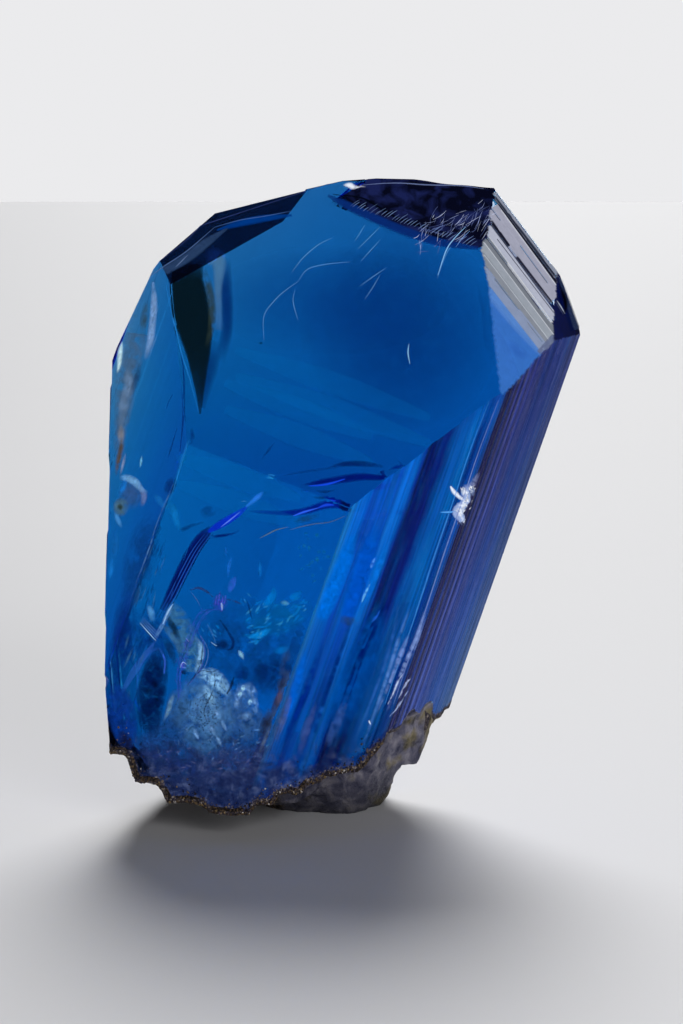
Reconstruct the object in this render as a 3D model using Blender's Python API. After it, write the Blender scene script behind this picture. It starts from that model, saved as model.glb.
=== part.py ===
"""A rough tanzanite crystal: one striated prism with a broad window face, broken across its top and its base.

The crystal frame is in millimetres. Its Z runs along the crystal's length, its front is towards -Y, and its
origin is the front corner where the window's point meets the ridge between the two front walls. A face's
direction is an azimuth, with 0 to the front and 90 to the right, and a tilt upwards. Its distance is from
the frame's origin.
"""

import math
import random
from collections import namedtuple

import bmesh
import bpy
from mathutils import Matrix, Vector, noise

MM = 0.001

# How the crystal stands: its length leans to the right and back, and it rests on a spot of its broken base.
LEAN_RIGHT = math.radians(19.4)
LEAN_BACK = math.radians(7.0)
CORNER_HEIGHT = 21.1

Wall = namedtuple("Wall", "azimuth distance stria_width stria_depth")
Face = namedtuple("Face", "azimuth tilt distance")
Chip = namedtuple("Chip", "x y z radius stretch")

# The walls of the prism, anticlockwise from the front left.
WALLS = [
    Wall(-18, 0.0, 3.2, 0.02),
    Wall(24, 0.0, 0.55, 0.11),
    Wall(68, 5.3, 0.30, 0.08),
    Wall(128, 16.6, 0.35, 0.07),
    Wall(170, 15.0, 1.70, 0.03),
    Wall(186, 15.7, 1.40, 0.04),
    Wall(-128, 22.75, 0.60, 0.06),
    Wall(-52, 6.7, 1.50, 0.03),
]
PRISM_BOTTOM = -26.0
PRISM_TOP = 27.0
STRIA_RISER = 0.03

# Flat faces that end the prism.
WINDOW = Face(-17.1, 25.4, 0.0)
SHOULDER_LOWER = Face(26.4, 37.3, 6.47)
SHOULDER_BACK = Face(75.9, 55.8, 19.15)
SHOULDER_SIDE = Face(56.1, 33.7, 10.68)
CREST = Face(-54.1, 66.9, 18.83)
LEFT_TOP = Face(-102.7, 57.0, 23.3)
LEFT_UPPER = Face(-99.1, 24.3, 22.5)
LEFT_MIDDLE = Face(-106.7, 8.3, 22.15)
BACK_UPPER = Face(174.0, 5.0, 15.55)
BACK_MIDDLE = Face(178.0, 2.2, 15.33)
FLAT_FACES = [
    WINDOW,
    SHOULDER_LOWER,
    SHOULDER_BACK,
    SHOULDER_SIDE,
    CREST,
    LEFT_TOP,
    LEFT_UPPER,
    LEFT_MIDDLE,
    BACK_UPPER,
    BACK_MIDDLE,
]

# Faces that were left in small steps. Each step is where it starts across the face, and how far out it lies.
SHOULDER = Face(30.6, 41.2, 7.95)
SHOULDER_STEPS = [
    (-30, 0.0),
    (16.6, 0.05),
    (17.3, 0.0),
    (18.7, 0.08),
    (19.0, 0.02),
    (20.0, 0.11),
    (20.3, 0.0),
    (21.3, 0.04),
    (22.2, 0.10),
    (22.45, 0.02),
    (22.9, 0.06),
]
BEVEL = Face(-29.7, 32.0, 4.85)
BEVEL_STEPS = [(-30, 0.30), (15.1, 0.0)]
CLEAVAGE = Face(-106.7, -25.7, 17.65)
CLEAVAGE_STEPS = [(-30, 0.15), (-1.5, 0.0), (1.7, 0.14), (3.4, 0.04), (5.1, 0.18), (6.6, 0.05)]
CUTTER_REACH = 30.0

# The curved break across the top, which starts at a straight edge across the window.
BREAK = Face(-17.0, 40.5, 5.5)
BREAK_LEFT = -11.3
BREAK_RIGHT = 9.0
BREAK_LENGTH = 8.0
BREAK_WIDTH = 11.5
BREAK_DEEP_END = 5.0
BREAK_BOW = 0.16
BREAK_HOLLOW = 0.35
BREAK_RIPPLE = 0.06
BREAK_RIPPLE_RATE = 7.5
BREAK_RIBS = 0.12
BREAK_MARGIN = 1.5
BREAK_END_SLANT = 0.4
BREAK_GRID = 0.45
BREAK_BLOCK = 8.0
BLOW = (-2.0, 5.2)

# Heights of the broken base above the floor, at places right of and behind the front corner.
BASE_HEIGHTS = [
    (-17.0, 2.0, 8.5),
    (-15.2, 1.0, 5.0),
    (-13.2, 0.0, 3.4),
    (-10.9, -0.9, 2.3),
    (-8.7, -1.7, 1.9),
    (-7.0, -2.3, 1.6),
    (-5.6, -1.9, 2.3),
    (-4.2, -1.3, 3.0),
    (-1.3, -0.1, 3.7),
    (0.7, 0.7, 4.2),
    (2.0, 1.2, 5.1),
    (3.3, 1.7, 6.4),
    (4.6, 5.1, 7.2),
    (5.5, 7.3, 7.2),
    (6.4, 10.3, 6.0),
    (3.8, 8.6, 2.4),
    (-4.4, 3.0, 1.3),
    (-9.0, 3.5, 1.5),
    (-12.5, 5.0, 2.9),
    (-9.5, 9.0, 1.8),
    (-1.0, 14.5, 1.5),
    (3.5, 13.5, 3.6),
    (-3.2, 7.5, -0.5),
    (-0.2, 6.8, -0.6),
    (1.4, 8.8, -0.6),
    (-3.4, 11.4, -0.5),
    (0.6, 12.0, -0.5),
]
BASE_LUMP = 0.5
BASE_LUMP_RATE = 0.45
BASE_GRAIN = 0.30
BASE_GRAIN_RATE = 1.1
BASE_LEDGE = 0.55
BASE_LEDGE_SHARE = 0.6
BASE_GRID = 0.5
BASE_SPAN_X = (-21.0, 13.0)
BASE_SPAN_Y = (-6.0, 20.0)
BASE_CUT_DEPTH = 12.0

# Small chips knocked out of the edges.
CHIPS = [
    Chip(7.25, 3.1, 2.0, 0.60, 1.5),
    Chip(7.35, 3.2, 3.6, 0.45, 1.4),
    Chip(7.6, 3.6, 0.2, 0.40, 1.6),
    Chip(-11.6, 3.5, -16.2, 0.60, 1.3),
    Chip(9.2, 10.7, 17.9, 0.55, 1.2),
    Chip(9.9, 12.4, 18.0, 0.45, 1.3),
    Chip(-6.4, 13.7, 21.9, 0.50, 1.0),
    Chip(-18.4, 12.9, 1.5, 0.70, 1.8),
    Chip(11.0, 13.4, -3.0, 0.50, 2.2),
    Chip(-2.0, 15.9, 9.0, 0.50, 2.0),
]
CHIP_ROUGHNESS = 0.9
CHIP_LUMP_RATE = 1.7

BLUE = (0.02, 0.13, 0.45, 1.0)


def clear_scene():
    for obj in list(bpy.data.objects):
        bpy.data.objects.remove(obj, do_unlink=True)


def direction_of(face):
    azimuth, tilt = math.radians(face.azimuth), math.radians(face.tilt)
    return Vector((math.sin(azimuth) * math.cos(tilt), -math.cos(azimuth) * math.cos(tilt), math.sin(tilt)))


def standing():
    """The turn and shift that take the crystal frame, in millimetres, to the floor's frame, in metres."""
    turn = Matrix.Rotation(-LEAN_BACK, 4, "X") @ Matrix.Rotation(LEAN_RIGHT, 4, "Y")
    return Matrix.Scale(MM, 4) @ Matrix.Translation((0, 0, CORNER_HEIGHT)) @ turn


def corner_between(first, second):
    """The point, in the plane across the prism, where two walls meet."""
    a, b = math.radians(first.azimuth), math.radians(second.azimuth)
    across = math.sin(b - a)
    x = (second.distance * math.cos(a) - first.distance * math.cos(b)) / across
    y = (second.distance * math.sin(a) - first.distance * math.sin(b)) / across
    return Vector((x, y))


def striated_wall(start, end, wall, rng):
    """Points from start to just before end. Each stria slopes a little, and a short riser parts it from the next."""
    along = (end - start).normalized()
    inward = Vector((-along.y, along.x))
    length = (end - start).length
    points = [start]
    travelled = wall.stria_width * rng.uniform(0.4, 1.2)
    while travelled < length - 0.5 * wall.stria_width:
        points.append(start + along * travelled + inward * rng.uniform(0.0, wall.stria_depth))
        points.append(start + along * (travelled + STRIA_RISER) + inward * rng.uniform(0.0, wall.stria_depth))
        travelled += STRIA_RISER + wall.stria_width * rng.uniform(0.35, 1.65)
    return points


def prism_outline():
    rng = random.Random(11)
    corners = [corner_between(WALLS[i - 1], wall) for i, wall in enumerate(WALLS)]
    outline = []
    for i, wall in enumerate(WALLS):
        outline += striated_wall(corners[i], corners[(i + 1) % len(WALLS)], wall, rng)
    return outline


def cut_flat(mesh, face):
    """Takes off what lies beyond the face, and closes the cut."""
    outward = direction_of(face)
    everything = mesh.verts[:] + mesh.edges[:] + mesh.faces[:]
    cut = bmesh.ops.bisect_plane(
        mesh, geom=everything, plane_co=outward * face.distance, plane_no=outward, clear_outer=True
    )
    edges = [item for item in cut["geom_cut"] if isinstance(item, bmesh.types.BMEdge)]
    bmesh.ops.edgeloop_fill(mesh, edges=edges)


def crystal_mesh():
    mesh = bmesh.new()
    floor = mesh.faces.new([mesh.verts.new((p.x, p.y, PRISM_BOTTOM)) for p in prism_outline()])
    grown = bmesh.ops.extrude_face_region(mesh, geom=[floor])
    top = [item for item in grown["geom"] if isinstance(item, bmesh.types.BMVert)]
    bmesh.ops.translate(mesh, verts=top, vec=(0, 0, PRISM_TOP - PRISM_BOTTOM))
    for face in FLAT_FACES:
        cut_flat(mesh, face)
    bmesh.ops.recalc_face_normals(mesh, faces=mesh.faces)
    return mesh


def make_object(name, mesh, matrix):
    """An object made of a bmesh in triangles, whose points the matrix takes to metres in the floor's frame."""
    bmesh.ops.triangulate(mesh, faces=mesh.faces)
    bmesh.ops.transform(mesh, matrix=matrix, verts=mesh.verts)
    data = bpy.data.meshes.new(name)
    mesh.to_mesh(data)
    mesh.free()
    obj = bpy.data.objects.new(name, data)
    bpy.context.scene.collection.objects.link(obj)
    return obj


def closed_prism(mesh, outline, offset):
    """A closed prism over a flat outline of points, as long as offset."""
    floor = mesh.faces.new([mesh.verts.new(point) for point in outline])
    grown = bmesh.ops.extrude_face_region(mesh, geom=[floor])
    far = [item for item in grown["geom"] if isinstance(item, bmesh.types.BMVert)]
    bmesh.ops.translate(mesh, verts=far, vec=offset)
    bmesh.ops.recalc_face_normals(mesh, faces=mesh.faces)


def stepped_cutter(face, run, steps):
    """A block beyond a face whose underside has small steps that run along a direction in the face."""
    outward = direction_of(face)
    run = (run - outward * run.dot(outward)).normalized()
    across = outward.cross(run)
    profile = []
    for i, (start, height) in enumerate(steps):
        end = steps[i + 1][0] if i + 1 < len(steps) else CUTTER_REACH
        profile.append((start + STRIA_RISER, height))
        profile.append((end, height))
    profile += [(CUTTER_REACH, CUTTER_REACH), (steps[0][0], CUTTER_REACH)]
    base = outward * face.distance - run * CUTTER_REACH
    mesh = bmesh.new()
    closed_prism(mesh, [base + across * a + outward * b for a, b in profile], run * 2 * CUTTER_REACH)
    return mesh


def sheet_block(rows, lift):
    """A closed block that rises from a sheet of points, given in rows, to a flat face a lift beyond their mean."""
    mesh = bmesh.new()
    sheet = [[mesh.verts.new(point) for point in row] for row in rows]
    faces = []
    for near, far in zip(sheet, sheet[1:]):
        for i in range(len(near) - 1):
            faces.append(mesh.faces.new((near[i], near[i + 1], far[i + 1], far[i])))
    grown = bmesh.ops.extrude_face_region(mesh, geom=faces)
    moved = [item for item in grown["geom"] if isinstance(item, bmesh.types.BMVert)]
    upwards = lift.normalized()
    level = lift.length + sum(vert.co.dot(upwards) for vert in moved) / len(moved)
    for vert in moved:
        vert.co += upwards * (level - vert.co.dot(upwards))
    bmesh.ops.recalc_face_normals(mesh, faces=mesh.faces)
    return mesh


def spread(low, high, step):
    count = round((high - low) / step)
    return [low + (high - low) * i / count for i in range(count + 1)]


def edge_rise(first, second):
    """How far up the second face its horizontal edge with the first lies, for faces of like azimuth."""
    tilt = math.radians(second.tilt)
    other = math.radians(first.tilt)
    return (second.distance * math.cos(tilt - other) - first.distance) / math.sin(tilt - other)


def break_depth(across, up):
    """How far the curved break dips into the crystal, with ripples around the point that was struck."""
    along = min(max((across - BREAK_LEFT) / BREAK_WIDTH, 0.0), 1.0)
    inside = math.sin(math.pi * min(max(up / BREAK_DEEP_END, 0.0), 1.0))
    from_blow = math.hypot(across - BLOW[0], up - BLOW[1])
    ripple = BREAK_RIPPLE * math.sin(BREAK_RIPPLE_RATE * math.sqrt(from_blow + 0.3)) * (0.35 + 0.65 * inside)
    ribs = BREAK_RIBS * noise.noise(Vector((across * 0.9 + up * 0.5, up * 0.35, 3.0))) * inside
    return math.sin(math.pi * along) * (BREAK_BOW + BREAK_HOLLOW * inside) + ripple + ribs


def break_cutter():
    outward = direction_of(BREAK)
    azimuth = math.radians(BREAK.azimuth)
    across = Vector((math.cos(azimuth), math.sin(azimuth), 0))
    up = outward.cross(across)
    start = edge_rise(WINDOW, BREAK)
    rows = []
    for rise in spread(start - BREAK_MARGIN, start + BREAK_LENGTH, BREAK_GRID):
        row = []
        for side in spread(BREAK_LEFT, BREAK_RIGHT, BREAK_GRID):
            dip = break_depth(side, rise - start)
            slant = max(0.0, BREAK_LEFT + 1.0 - side) * BREAK_END_SLANT * (rise - start)
            row.append(outward * (BREAK.distance - dip) + across * (side + slant) + up * rise)
        rows.append(row)
    return sheet_block(rows, outward * BREAK_BLOCK)


def base_height(x, y):
    """The broken base's height: a blend of the heights around it, lumpy and ledged, and flat on the floor."""
    total = weight_sum = 0.0
    for place_x, place_y, height in BASE_HEIGHTS:
        weight = 1.0 / (0.15 + (x - place_x) ** 2 + (y - place_y) ** 2) ** 2
        total += weight * height
        weight_sum += weight
    lumps = BASE_LUMP * noise.noise(Vector((x, y, 3.8)) * BASE_LUMP_RATE)
    grain = BASE_GRAIN * (noise.turbulence(Vector((x, y, 4.8)) * BASE_GRAIN_RATE, 2, True) - 0.5)
    height = total / weight_sum + lumps
    ledge = BASE_LEDGE * round(height / BASE_LEDGE)
    return max(0.0, height + BASE_LEDGE_SHARE * (ledge - height) + grain)


def base_cutter():
    rows = []
    for y in spread(*BASE_SPAN_Y, BASE_GRID):
        rows.append([Vector((x, y, base_height(x, y))) for x in spread(*BASE_SPAN_X, BASE_GRID)])
    return sheet_block(rows, Vector((0, 0, -BASE_CUT_DEPTH)))


def chip_cutter():
    """Small rough lumps, which don't touch each other, centred near the edges that they bite into."""
    mesh = bmesh.new()
    for chip in CHIPS:
        centre = Vector((chip.x, chip.y, chip.z))
        lump = bmesh.ops.create_icosphere(mesh, subdivisions=1, radius=chip.radius)
        for vert in lump["verts"]:
            push = 1.0 + CHIP_ROUGHNESS * noise.noise((vert.co + centre) * CHIP_LUMP_RATE)
            vert.co = centre + Vector((vert.co.x, vert.co.y, vert.co.z * chip.stretch)) * push
    return mesh


def crystal_material():
    material = bpy.data.materials.new("blue_tanzanite")
    material.use_nodes = True
    shader = material.node_tree.nodes["Principled BSDF"]
    shader.inputs["Base Color"].default_value = BLUE
    shader.inputs["Roughness"].default_value = 0.04
    shader.inputs["Metallic"].default_value = 0.0
    shader.inputs["IOR"].default_value = 1.69
    return material


def take_away(obj, cutter):
    cutter.hide_render = True
    cutter.display_type = "WIRE"
    modifier = obj.modifiers.new(cutter.name, "BOOLEAN")
    modifier.operation = "DIFFERENCE"
    modifier.solver = "EXACT"
    modifier.object = cutter


def shift_to_origin(objects, solid):
    """Moves everything so that the solid's footprint is centred on the origin, with its lowest point at zero."""
    bpy.context.view_layer.update()
    evaluated = solid.evaluated_get(bpy.context.evaluated_depsgraph_get())
    mesh = evaluated.to_mesh()
    low = Vector([min(vert.co[i] for vert in mesh.vertices) for i in range(3)])
    high = Vector([max(vert.co[i] for vert in mesh.vertices) for i in range(3)])
    evaluated.to_mesh_clear()
    shift = Vector(((low.x + high.x) / 2, (low.y + high.y) / 2, low.z))
    for obj in objects:
        obj.data.transform(Matrix.Translation(-shift))


def main():
    clear_scene()
    stand = standing()
    to_floor = Matrix.Scale(MM, 4)
    crystal = make_object("tanzanite_crystal", crystal_mesh(), stand)
    crystal.data.materials.append(crystal_material())
    shoulder_run = direction_of(SHOULDER_BACK).cross(direction_of(SHOULDER))
    upwards = Vector((0, 0, 1))
    cutters = [
        make_object("shoulder_steps", stepped_cutter(SHOULDER, shoulder_run, SHOULDER_STEPS), stand),
        make_object("bevel_steps", stepped_cutter(BEVEL, upwards, BEVEL_STEPS), stand),
        make_object("cleavage_steps", stepped_cutter(CLEAVAGE, upwards, CLEAVAGE_STEPS), stand),
        make_object("top_break", break_cutter(), stand),
        make_object("edge_chips", chip_cutter(), stand),
        make_object("broken_base", base_cutter(), to_floor),
    ]
    for cutter in cutters:
        take_away(crystal, cutter)
    shift_to_origin([crystal] + cutters, crystal)


main()
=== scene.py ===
"""The looks of a rough tanzanite crystal: clear blue stone, striated walls, fractures and a crusted base.

Directions are an azimuth, with 0 to the front (-Y) and 90 to the right (+X), and an elevation above the
horizon, both in degrees. Sights are places in the camera's picture, which is 683 wide and 1024 high, with 0
at its top left corner. Colours are written as a screen shows them, from 0 to 255.
"""

import math
import random

import bmesh
import bpy
from mathutils import Matrix, Vector, noise
from mathutils.bvhtree import BVHTree
from mathutils.kdtree import KDTree


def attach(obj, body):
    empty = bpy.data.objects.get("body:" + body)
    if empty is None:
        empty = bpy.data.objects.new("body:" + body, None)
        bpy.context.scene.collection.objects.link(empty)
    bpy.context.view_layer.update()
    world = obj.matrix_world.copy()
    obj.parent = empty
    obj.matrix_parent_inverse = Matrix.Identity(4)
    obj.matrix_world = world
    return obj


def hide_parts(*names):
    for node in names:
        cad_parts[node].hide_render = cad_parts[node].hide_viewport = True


MM = 0.001
NODE = "tanzanite_crystal"

# The crystal's own frame, as it stands: its front corner, and how far its length leans right and back.
FRONT_CORNER = Vector((0.266, -7.508, 21.1)) * MM
LEAN_RIGHT = math.radians(19.4)
LEAN_BACK = math.radians(7.0)
TURN = Matrix.Rotation(-LEAN_BACK, 3, "X") @ Matrix.Rotation(LEAN_RIGHT, 3, "Y")
UP = Vector((0, 0, 1))
LENGTHWISE = TURN @ UP

# The camera looks at the front corner from a little above.
PICTURE = (683, 1024)
CAMERA_DOWN = math.radians(7.0)
CAMERA_DISTANCE = 181.8 * MM
CAMERA_LENS = 100.0
SENSOR = 36.0
CORNER_RIGHT = 0.543 * MM
CORNER_UP = 0.256 * MM
FORWARD = Vector((0, math.cos(CAMERA_DOWN), -math.sin(CAMERA_DOWN)))
UPWARD = Vector((0, math.sin(CAMERA_DOWN), math.cos(CAMERA_DOWN)))
RIGHTWARD = Vector((1, 0, 0))
EYE = FRONT_CORNER - RIGHTWARD * CORNER_RIGHT - UPWARD * CORNER_UP - FORWARD * CAMERA_DISTANCE

# How strongly the stone bends light, and what it takes from light for each metre of its depth.
STONE_IOR = 1.69
ABSORB_DENSITY = 480.0
ABSORB_COLOUR = (0.0, 0.825, 0.976, 1.0)
GLOSS_TINT = (0.40, 0.41, 0.48, 1.0)

# The stone's faces: name, azimuth, tilt upwards, and the distance from the front corner and the stray, in MM.
FACES = [
    ("window", -17.1, 25.4, 0.0, 0.1),
    ("front_left", -18.0, 0.0, 0.0, 0.1),
    ("front_right", 24.0, 0.0, 0.0, 0.2),
    ("right", 68.0, 0.0, 5.3, 0.2),
    ("left", -52.0, 0.0, 6.7, 0.15),
    ("bevel", -29.7, 32.0, 4.85, 0.4),
    ("shoulder", 30.6, 41.2, 7.95, 0.3),
    ("shoulder", 26.4, 37.3, 6.47, 0.1),
    ("shoulder", 75.9, 55.8, 19.15, 0.1),
    ("shoulder_side", 56.1, 33.7, 10.68, 0.1),
    ("left", -106.7, -25.7, 17.65, 0.3),
    ("back", 128.0, 0.0, 16.6, 0.2),
    ("back", 170.0, 0.0, 15.0, 0.1),
    ("back", 186.0, 0.0, 15.7, 0.1),
    ("back", -128.0, 0.0, 22.75, 0.2),
    ("back", 174.0, 5.0, 15.55, 0.1),
    ("back", 178.0, 2.2, 15.33, 0.1),
    ("back", -106.7, 8.3, 22.15, 0.1),
]
SAME_FACE = math.cos(math.radians(24))
FACE_SLACK = 0.02
STEP_SLACK = 0.05
STEP_SLANT = 0.12
BREAK_FACES = 0.5
BASE_TOP = 8.0 * MM
RIGHT_WALL_FOOT = 6.3 * MM
BREAK_BOTTOM = 12.0 * MM

# What each face's colour lets through, beyond the stone's own depth of colour. Much of it is painted shade:
# the bevel, break and shoulder side are made nearly black and the window and front left wall darker, and the
# right wall's violet is a painted sheen.
FACE_TINTS_AND_SHADE = {
    "window": (0.08, 0.14, 0.40),
    "front_left": (0.10, 0.20, 0.44),
    "front_right": (0.4, 0.8, 0.95),
    "right": (0.30, 0.25, 0.60),
    "left": (0.10, 0.26, 0.80),
    "bevel": (0.0001, 0.0004, 0.004),
    "break": (0.003, 0.006, 0.02),
    "shoulder": (0.4, 0.65, 0.95),
    "shoulder_side": (0.02, 0.03, 0.10),
    "back": (0.35, 0.80, 0.95),
    "base": (0.1, 0.2, 0.4),
}

# Painted shade: towards its top the stone is darkened further, with less red and green let through.
TOP_STARTS = 22 * MM
TOP_ENDS = 38 * MM
TOP_SHADE_TINT = (0.28, 0.70, 1.0)

FLOOR_RADIUS = 3.0
FLOOR_COLOUR = (0.60, 0.60, 0.62, 1.0)


def direction(azimuth, elevation):
    a, e = math.radians(azimuth), math.radians(elevation)
    return Vector((math.sin(a) * math.cos(e), -math.cos(a) * math.cos(e), math.sin(e)))


FACINGS = {name: TURN @ direction(azimuth, tilt) for name, azimuth, tilt, _, _ in FACES[:6]}


def linear(value):
    """The amount of light behind one channel of a screen's colour."""
    part = value / 255
    return part / 12.92 if part <= 0.04045 else ((part + 0.055) / 1.055) ** 2.4


def paint(red, green, blue, cover=1.0):
    return (linear(red), linear(green), linear(blue), cover)


def link(obj):
    bpy.context.scene.collection.objects.link(obj)
    return obj


def object_of(name, mesh, material):
    data = bpy.data.meshes.new(name)
    mesh.to_mesh(data)
    mesh.free()
    data.materials.append(material)
    return link(bpy.data.objects.new(name, data))


def add_piece(name, mesh, material):
    piece = object_of(name, mesh, material)
    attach(piece, "root")
    return piece


class Graph:
    """The nodes of a material or a world. An input is a value to set, or another node's output to link."""

    def __init__(self, name, owners=bpy.data.materials, shader="Principled BSDF"):
        self.owner = owners.new(name)
        self.owner.use_nodes = True
        self.tree = self.owner.node_tree
        self.shader = self.tree.nodes[shader]

    def fill(self, made, inputs):
        for key, value in inputs.items():
            socket = made.inputs[key]
            if isinstance(value, bpy.types.NodeSocket):
                self.tree.links.new(value, socket)
            else:
                socket.default_value = value

    def add(self, kind, inputs, **settings):
        made = self.tree.nodes.new(kind)
        for key, value in settings.items():
            setattr(made, key, value)
        self.fill(made, inputs)
        return made

    def place(self):
        return self.add("ShaderNodeTexCoord", {}).outputs["Object"]

    def of_mesh(self, name, output="Fac"):
        return self.add("ShaderNodeAttribute", {}, attribute_name=name).outputs[output]

    def math(self, operation, a, b=0.0):
        return self.add("ShaderNodeMath", {0: a, 1: b}, operation=operation).outputs[0]

    def noise(self, where, scale, detail=3.0, distortion=0.0, rough=0.5):
        return self.add("ShaderNodeTexNoise", {
            "Vector": where, "Scale": scale, "Detail": detail, "Distortion": distortion, "Roughness": rough,
        }).outputs["Fac"]

    def spread(self, amount, low, high, first=0.0, last=1.0):
        """An amount from low to high, spread from first to last and held there beyond."""
        return self.add("ShaderNodeMapRange", {0: amount, 1: low, 2: high, 3: first, 4: last}).outputs[0]

    def ramp(self, amount, stops, interpolation="LINEAR"):
        """A run of colours, or of greys where a stop holds a number, over an amount."""
        made = self.add("ShaderNodeValToRGB", {"Fac": amount})
        bar = made.color_ramp
        bar.interpolation = interpolation
        while len(bar.elements) < len(stops):
            bar.elements.new(0.5)
        for element, (position, colour) in zip(bar.elements, stops):
            element.position = position
            element.color = (colour, colour, colour, 1) if isinstance(colour, (int, float)) else colour
        return made.outputs["Color"]

    def mix(self, amount, a, b, blend="MIX"):
        made = self.add("ShaderNodeMix", {}, data_type="RGBA", blend_type=blend)
        self.fill(made, {0: amount, 6: a, 7: b})
        return made.outputs[2]

    def times(self, a, b):
        return self.mix(1.0, a, b, "MULTIPLY")

    def stirred(self, amount, smoke, reach):
        """An amount that smoke, which is 0.5 on average, moves up and down within a reach."""
        return self.math("ADD", amount, self.math("MULTIPLY", self.math("SUBTRACT", smoke, 0.5), reach))

    def along(self, where, axis, size):
        """How far a place lies along an axis, in multiples of size."""
        scaled = [part / size for part in axis]
        made = self.add("ShaderNodeVectorMath", {0: where, 1: scaled}, operation="DOT_PRODUCT")
        return made.outputs["Value"]

    def streaks(self, across, width, run, detail=4.0):
        """Noise drawn out along the crystal's length: each streak's width and run in metres."""
        where = self.place()
        flow = self.add("ShaderNodeCombineXYZ", {
            0: self.along(where, across, width),
            1: self.along(where, LENGTHWISE, run),
        }).outputs[0]
        return self.noise(flow, 1.0, detail)

    def bump(self, height, distance):
        made = self.add("ShaderNodeBump", {"Height": height, "Distance": distance, "Strength": 1.0})
        return made.outputs["Normal"]

    def glow(self, tone, lit, cover, strength, rough, gloss=0.0):
        """A surface that glows with a tone of its own, painted light that no lamp gives, and of which the
        share lit answers to the lights.
        """
        self.fill(self.shader, {
            "Base Color": self.times(tone, (lit, lit, lit, 1)),
            "Roughness": rough,
            "Specular IOR Level": gloss,
            "Alpha": cover,
            "Emission Color": tone,
            "Emission Strength": strength,
        })


def stone_material():
    """Clear blue stone, whose colour changes from face to face and darkens towards its top, much of it as
    painted shade.
    """
    g = Graph("clear_blue_stone")
    tint = g.of_mesh("tint", "Color")
    top = g.spread(g.along(g.place(), LENGTHWISE, 1.0), TOP_STARTS, TOP_ENDS)
    g.fill(g.shader, {
        "Base Color": g.times(tint, g.mix(top, (1, 1, 1, 1), (*TOP_SHADE_TINT, 1))),
        "Roughness": 0.0,
        "IOR": STONE_IOR,
        "Transmission Weight": 1.0,
        "Specular Tint": GLOSS_TINT,
    })
    absorb = g.add("ShaderNodeVolumeAbsorption", {"Color": ABSORB_COLOUR, "Density": ABSORB_DENSITY})
    g.fill(g.tree.nodes["Material Output"], {"Volume": absorb.outputs["Volume"]})
    return g.owner


def face_name(normal, centre):
    """The name of the stone's face that a small face of its mesh belongs to."""
    best, best_match = None, SAME_FACE
    for name, azimuth, tilt, distance, stray in FACES:
        facing = TURN @ direction(azimuth, tilt)
        match = facing.dot(normal)
        off = facing.dot(centre - FRONT_CORNER) - distance * MM
        if match > best_match and abs(off) < (stray + FACE_SLACK) * MM:
            best, best_match = name, match
    if best == "right" and centre.z < RIGHT_WALL_FOOT:
        return "base"
    if best:
        return best
    if abs(normal.dot(LENGTHWISE)) < STEP_SLANT:
        for name, azimuth, tilt, distance, stray in FACES:
            off = direction(azimuth, 0).dot(TURN.transposed() @ (centre - FRONT_CORNER)) - distance * MM
            if tilt == 0 and abs(off) < (stray + STEP_SLACK) * MM:
                return name
    if centre.z < BASE_TOP:
        return "base"
    up_the_stone = (centre - FRONT_CORNER).dot(LENGTHWISE)
    if up_the_stone > BREAK_BOTTOM and normal.dot(TURN @ direction(-17, 40)) > BREAK_FACES:
        return "break"
    return "back"


def stone_mesh():
    """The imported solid's mesh, with the tint of each of its faces, and a list of their names."""
    made = bmesh.new()
    made.from_mesh(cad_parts[NODE].data)
    bmesh.ops.remove_doubles(made, verts=made.verts, dist=1e-7)
    tint = made.loops.layers.float_color.new("tint")
    found = []
    for face in made.faces:
        name = face_name(face.normal, face.calc_center_median())
        found.append(name)
        for loop in face.loops:
            loop[tint] = (*FACE_TINTS_AND_SHADE[name], 1.0)
    return made, found


def sight_line(x, y):
    """The direction from the eye in which a sight lies."""
    focal = CAMERA_LENS / SENSOR * PICTURE[1]
    aside, down = x - PICTURE[0] / 2, y - PICTURE[1] / 2
    return (FORWARD * focal + RIGHTWARD * aside - UPWARD * down).normalized()


def bent(line, normal):
    """A line of sight's direction once it has entered the stone."""
    slope = -line.dot(normal) / STONE_IOR
    return (line / STONE_IOR + normal * (slope - math.sqrt(1 - 1 / STONE_IOR**2 + slope**2))).normalized()


def place_at(x, y, depth):
    """The place that shows at a sight, a depth into the stone in MM, the share of each colour that comes out
    from there, and the name of the face before it, or None beside the stone. A depth below 0 lies over it."""
    line = sight_line(x, y)
    point, normal, index, _ = stone_tree.ray_cast(EYE, line)
    if point is None:
        return None
    if depth < 0:
        return point - normal * depth * MM, (1, 1, 1), names[index]
    place = point + bent(line, FACINGS.get(names[index], normal)) * depth * MM
    top = min(1.0, max(0.0, (point.dot(LENGTHWISE) - TOP_STARTS) / (TOP_ENDS - TOP_STARTS)))
    shares = []
    for tint, top_tint, absorb in zip(FACE_TINTS_AND_SHADE[names[index]], TOP_SHADE_TINT, ABSORB_COLOUR):
        surface = math.sqrt(tint * (1 + top * (top_tint - 1)))
        share = surface * math.exp(-ABSORB_DENSITY * (1 - absorb) * depth * MM)
        shares.append(max(share, LEAST_SHARE))
    return place, shares, names[index]


def smooth_path(stops, spacing):
    """Values along a smooth curve through stops, each a sight and more numbers, about spacing apart."""
    padded = [stops[0], *stops, stops[-1]]
    path = []
    for before, start, end, after in zip(padded, padded[1:], padded[2:], padded[3:]):
        count = max(1, round(math.dist(start[:2], end[:2]) / spacing))
        for i in range(count):
            s = i / count
            weights = (-s + 2 * s**2 - s**3, 2 - 5 * s**2 + 3 * s**3, s + 4 * s**2 - 3 * s**3, s**3 - s**2)
            columns = zip(before, start, end, after)
            path.append([sum(w * v for w, v in zip(weights, column)) / 2 for column in columns])
    return path + [list(stops[-1])]


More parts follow.
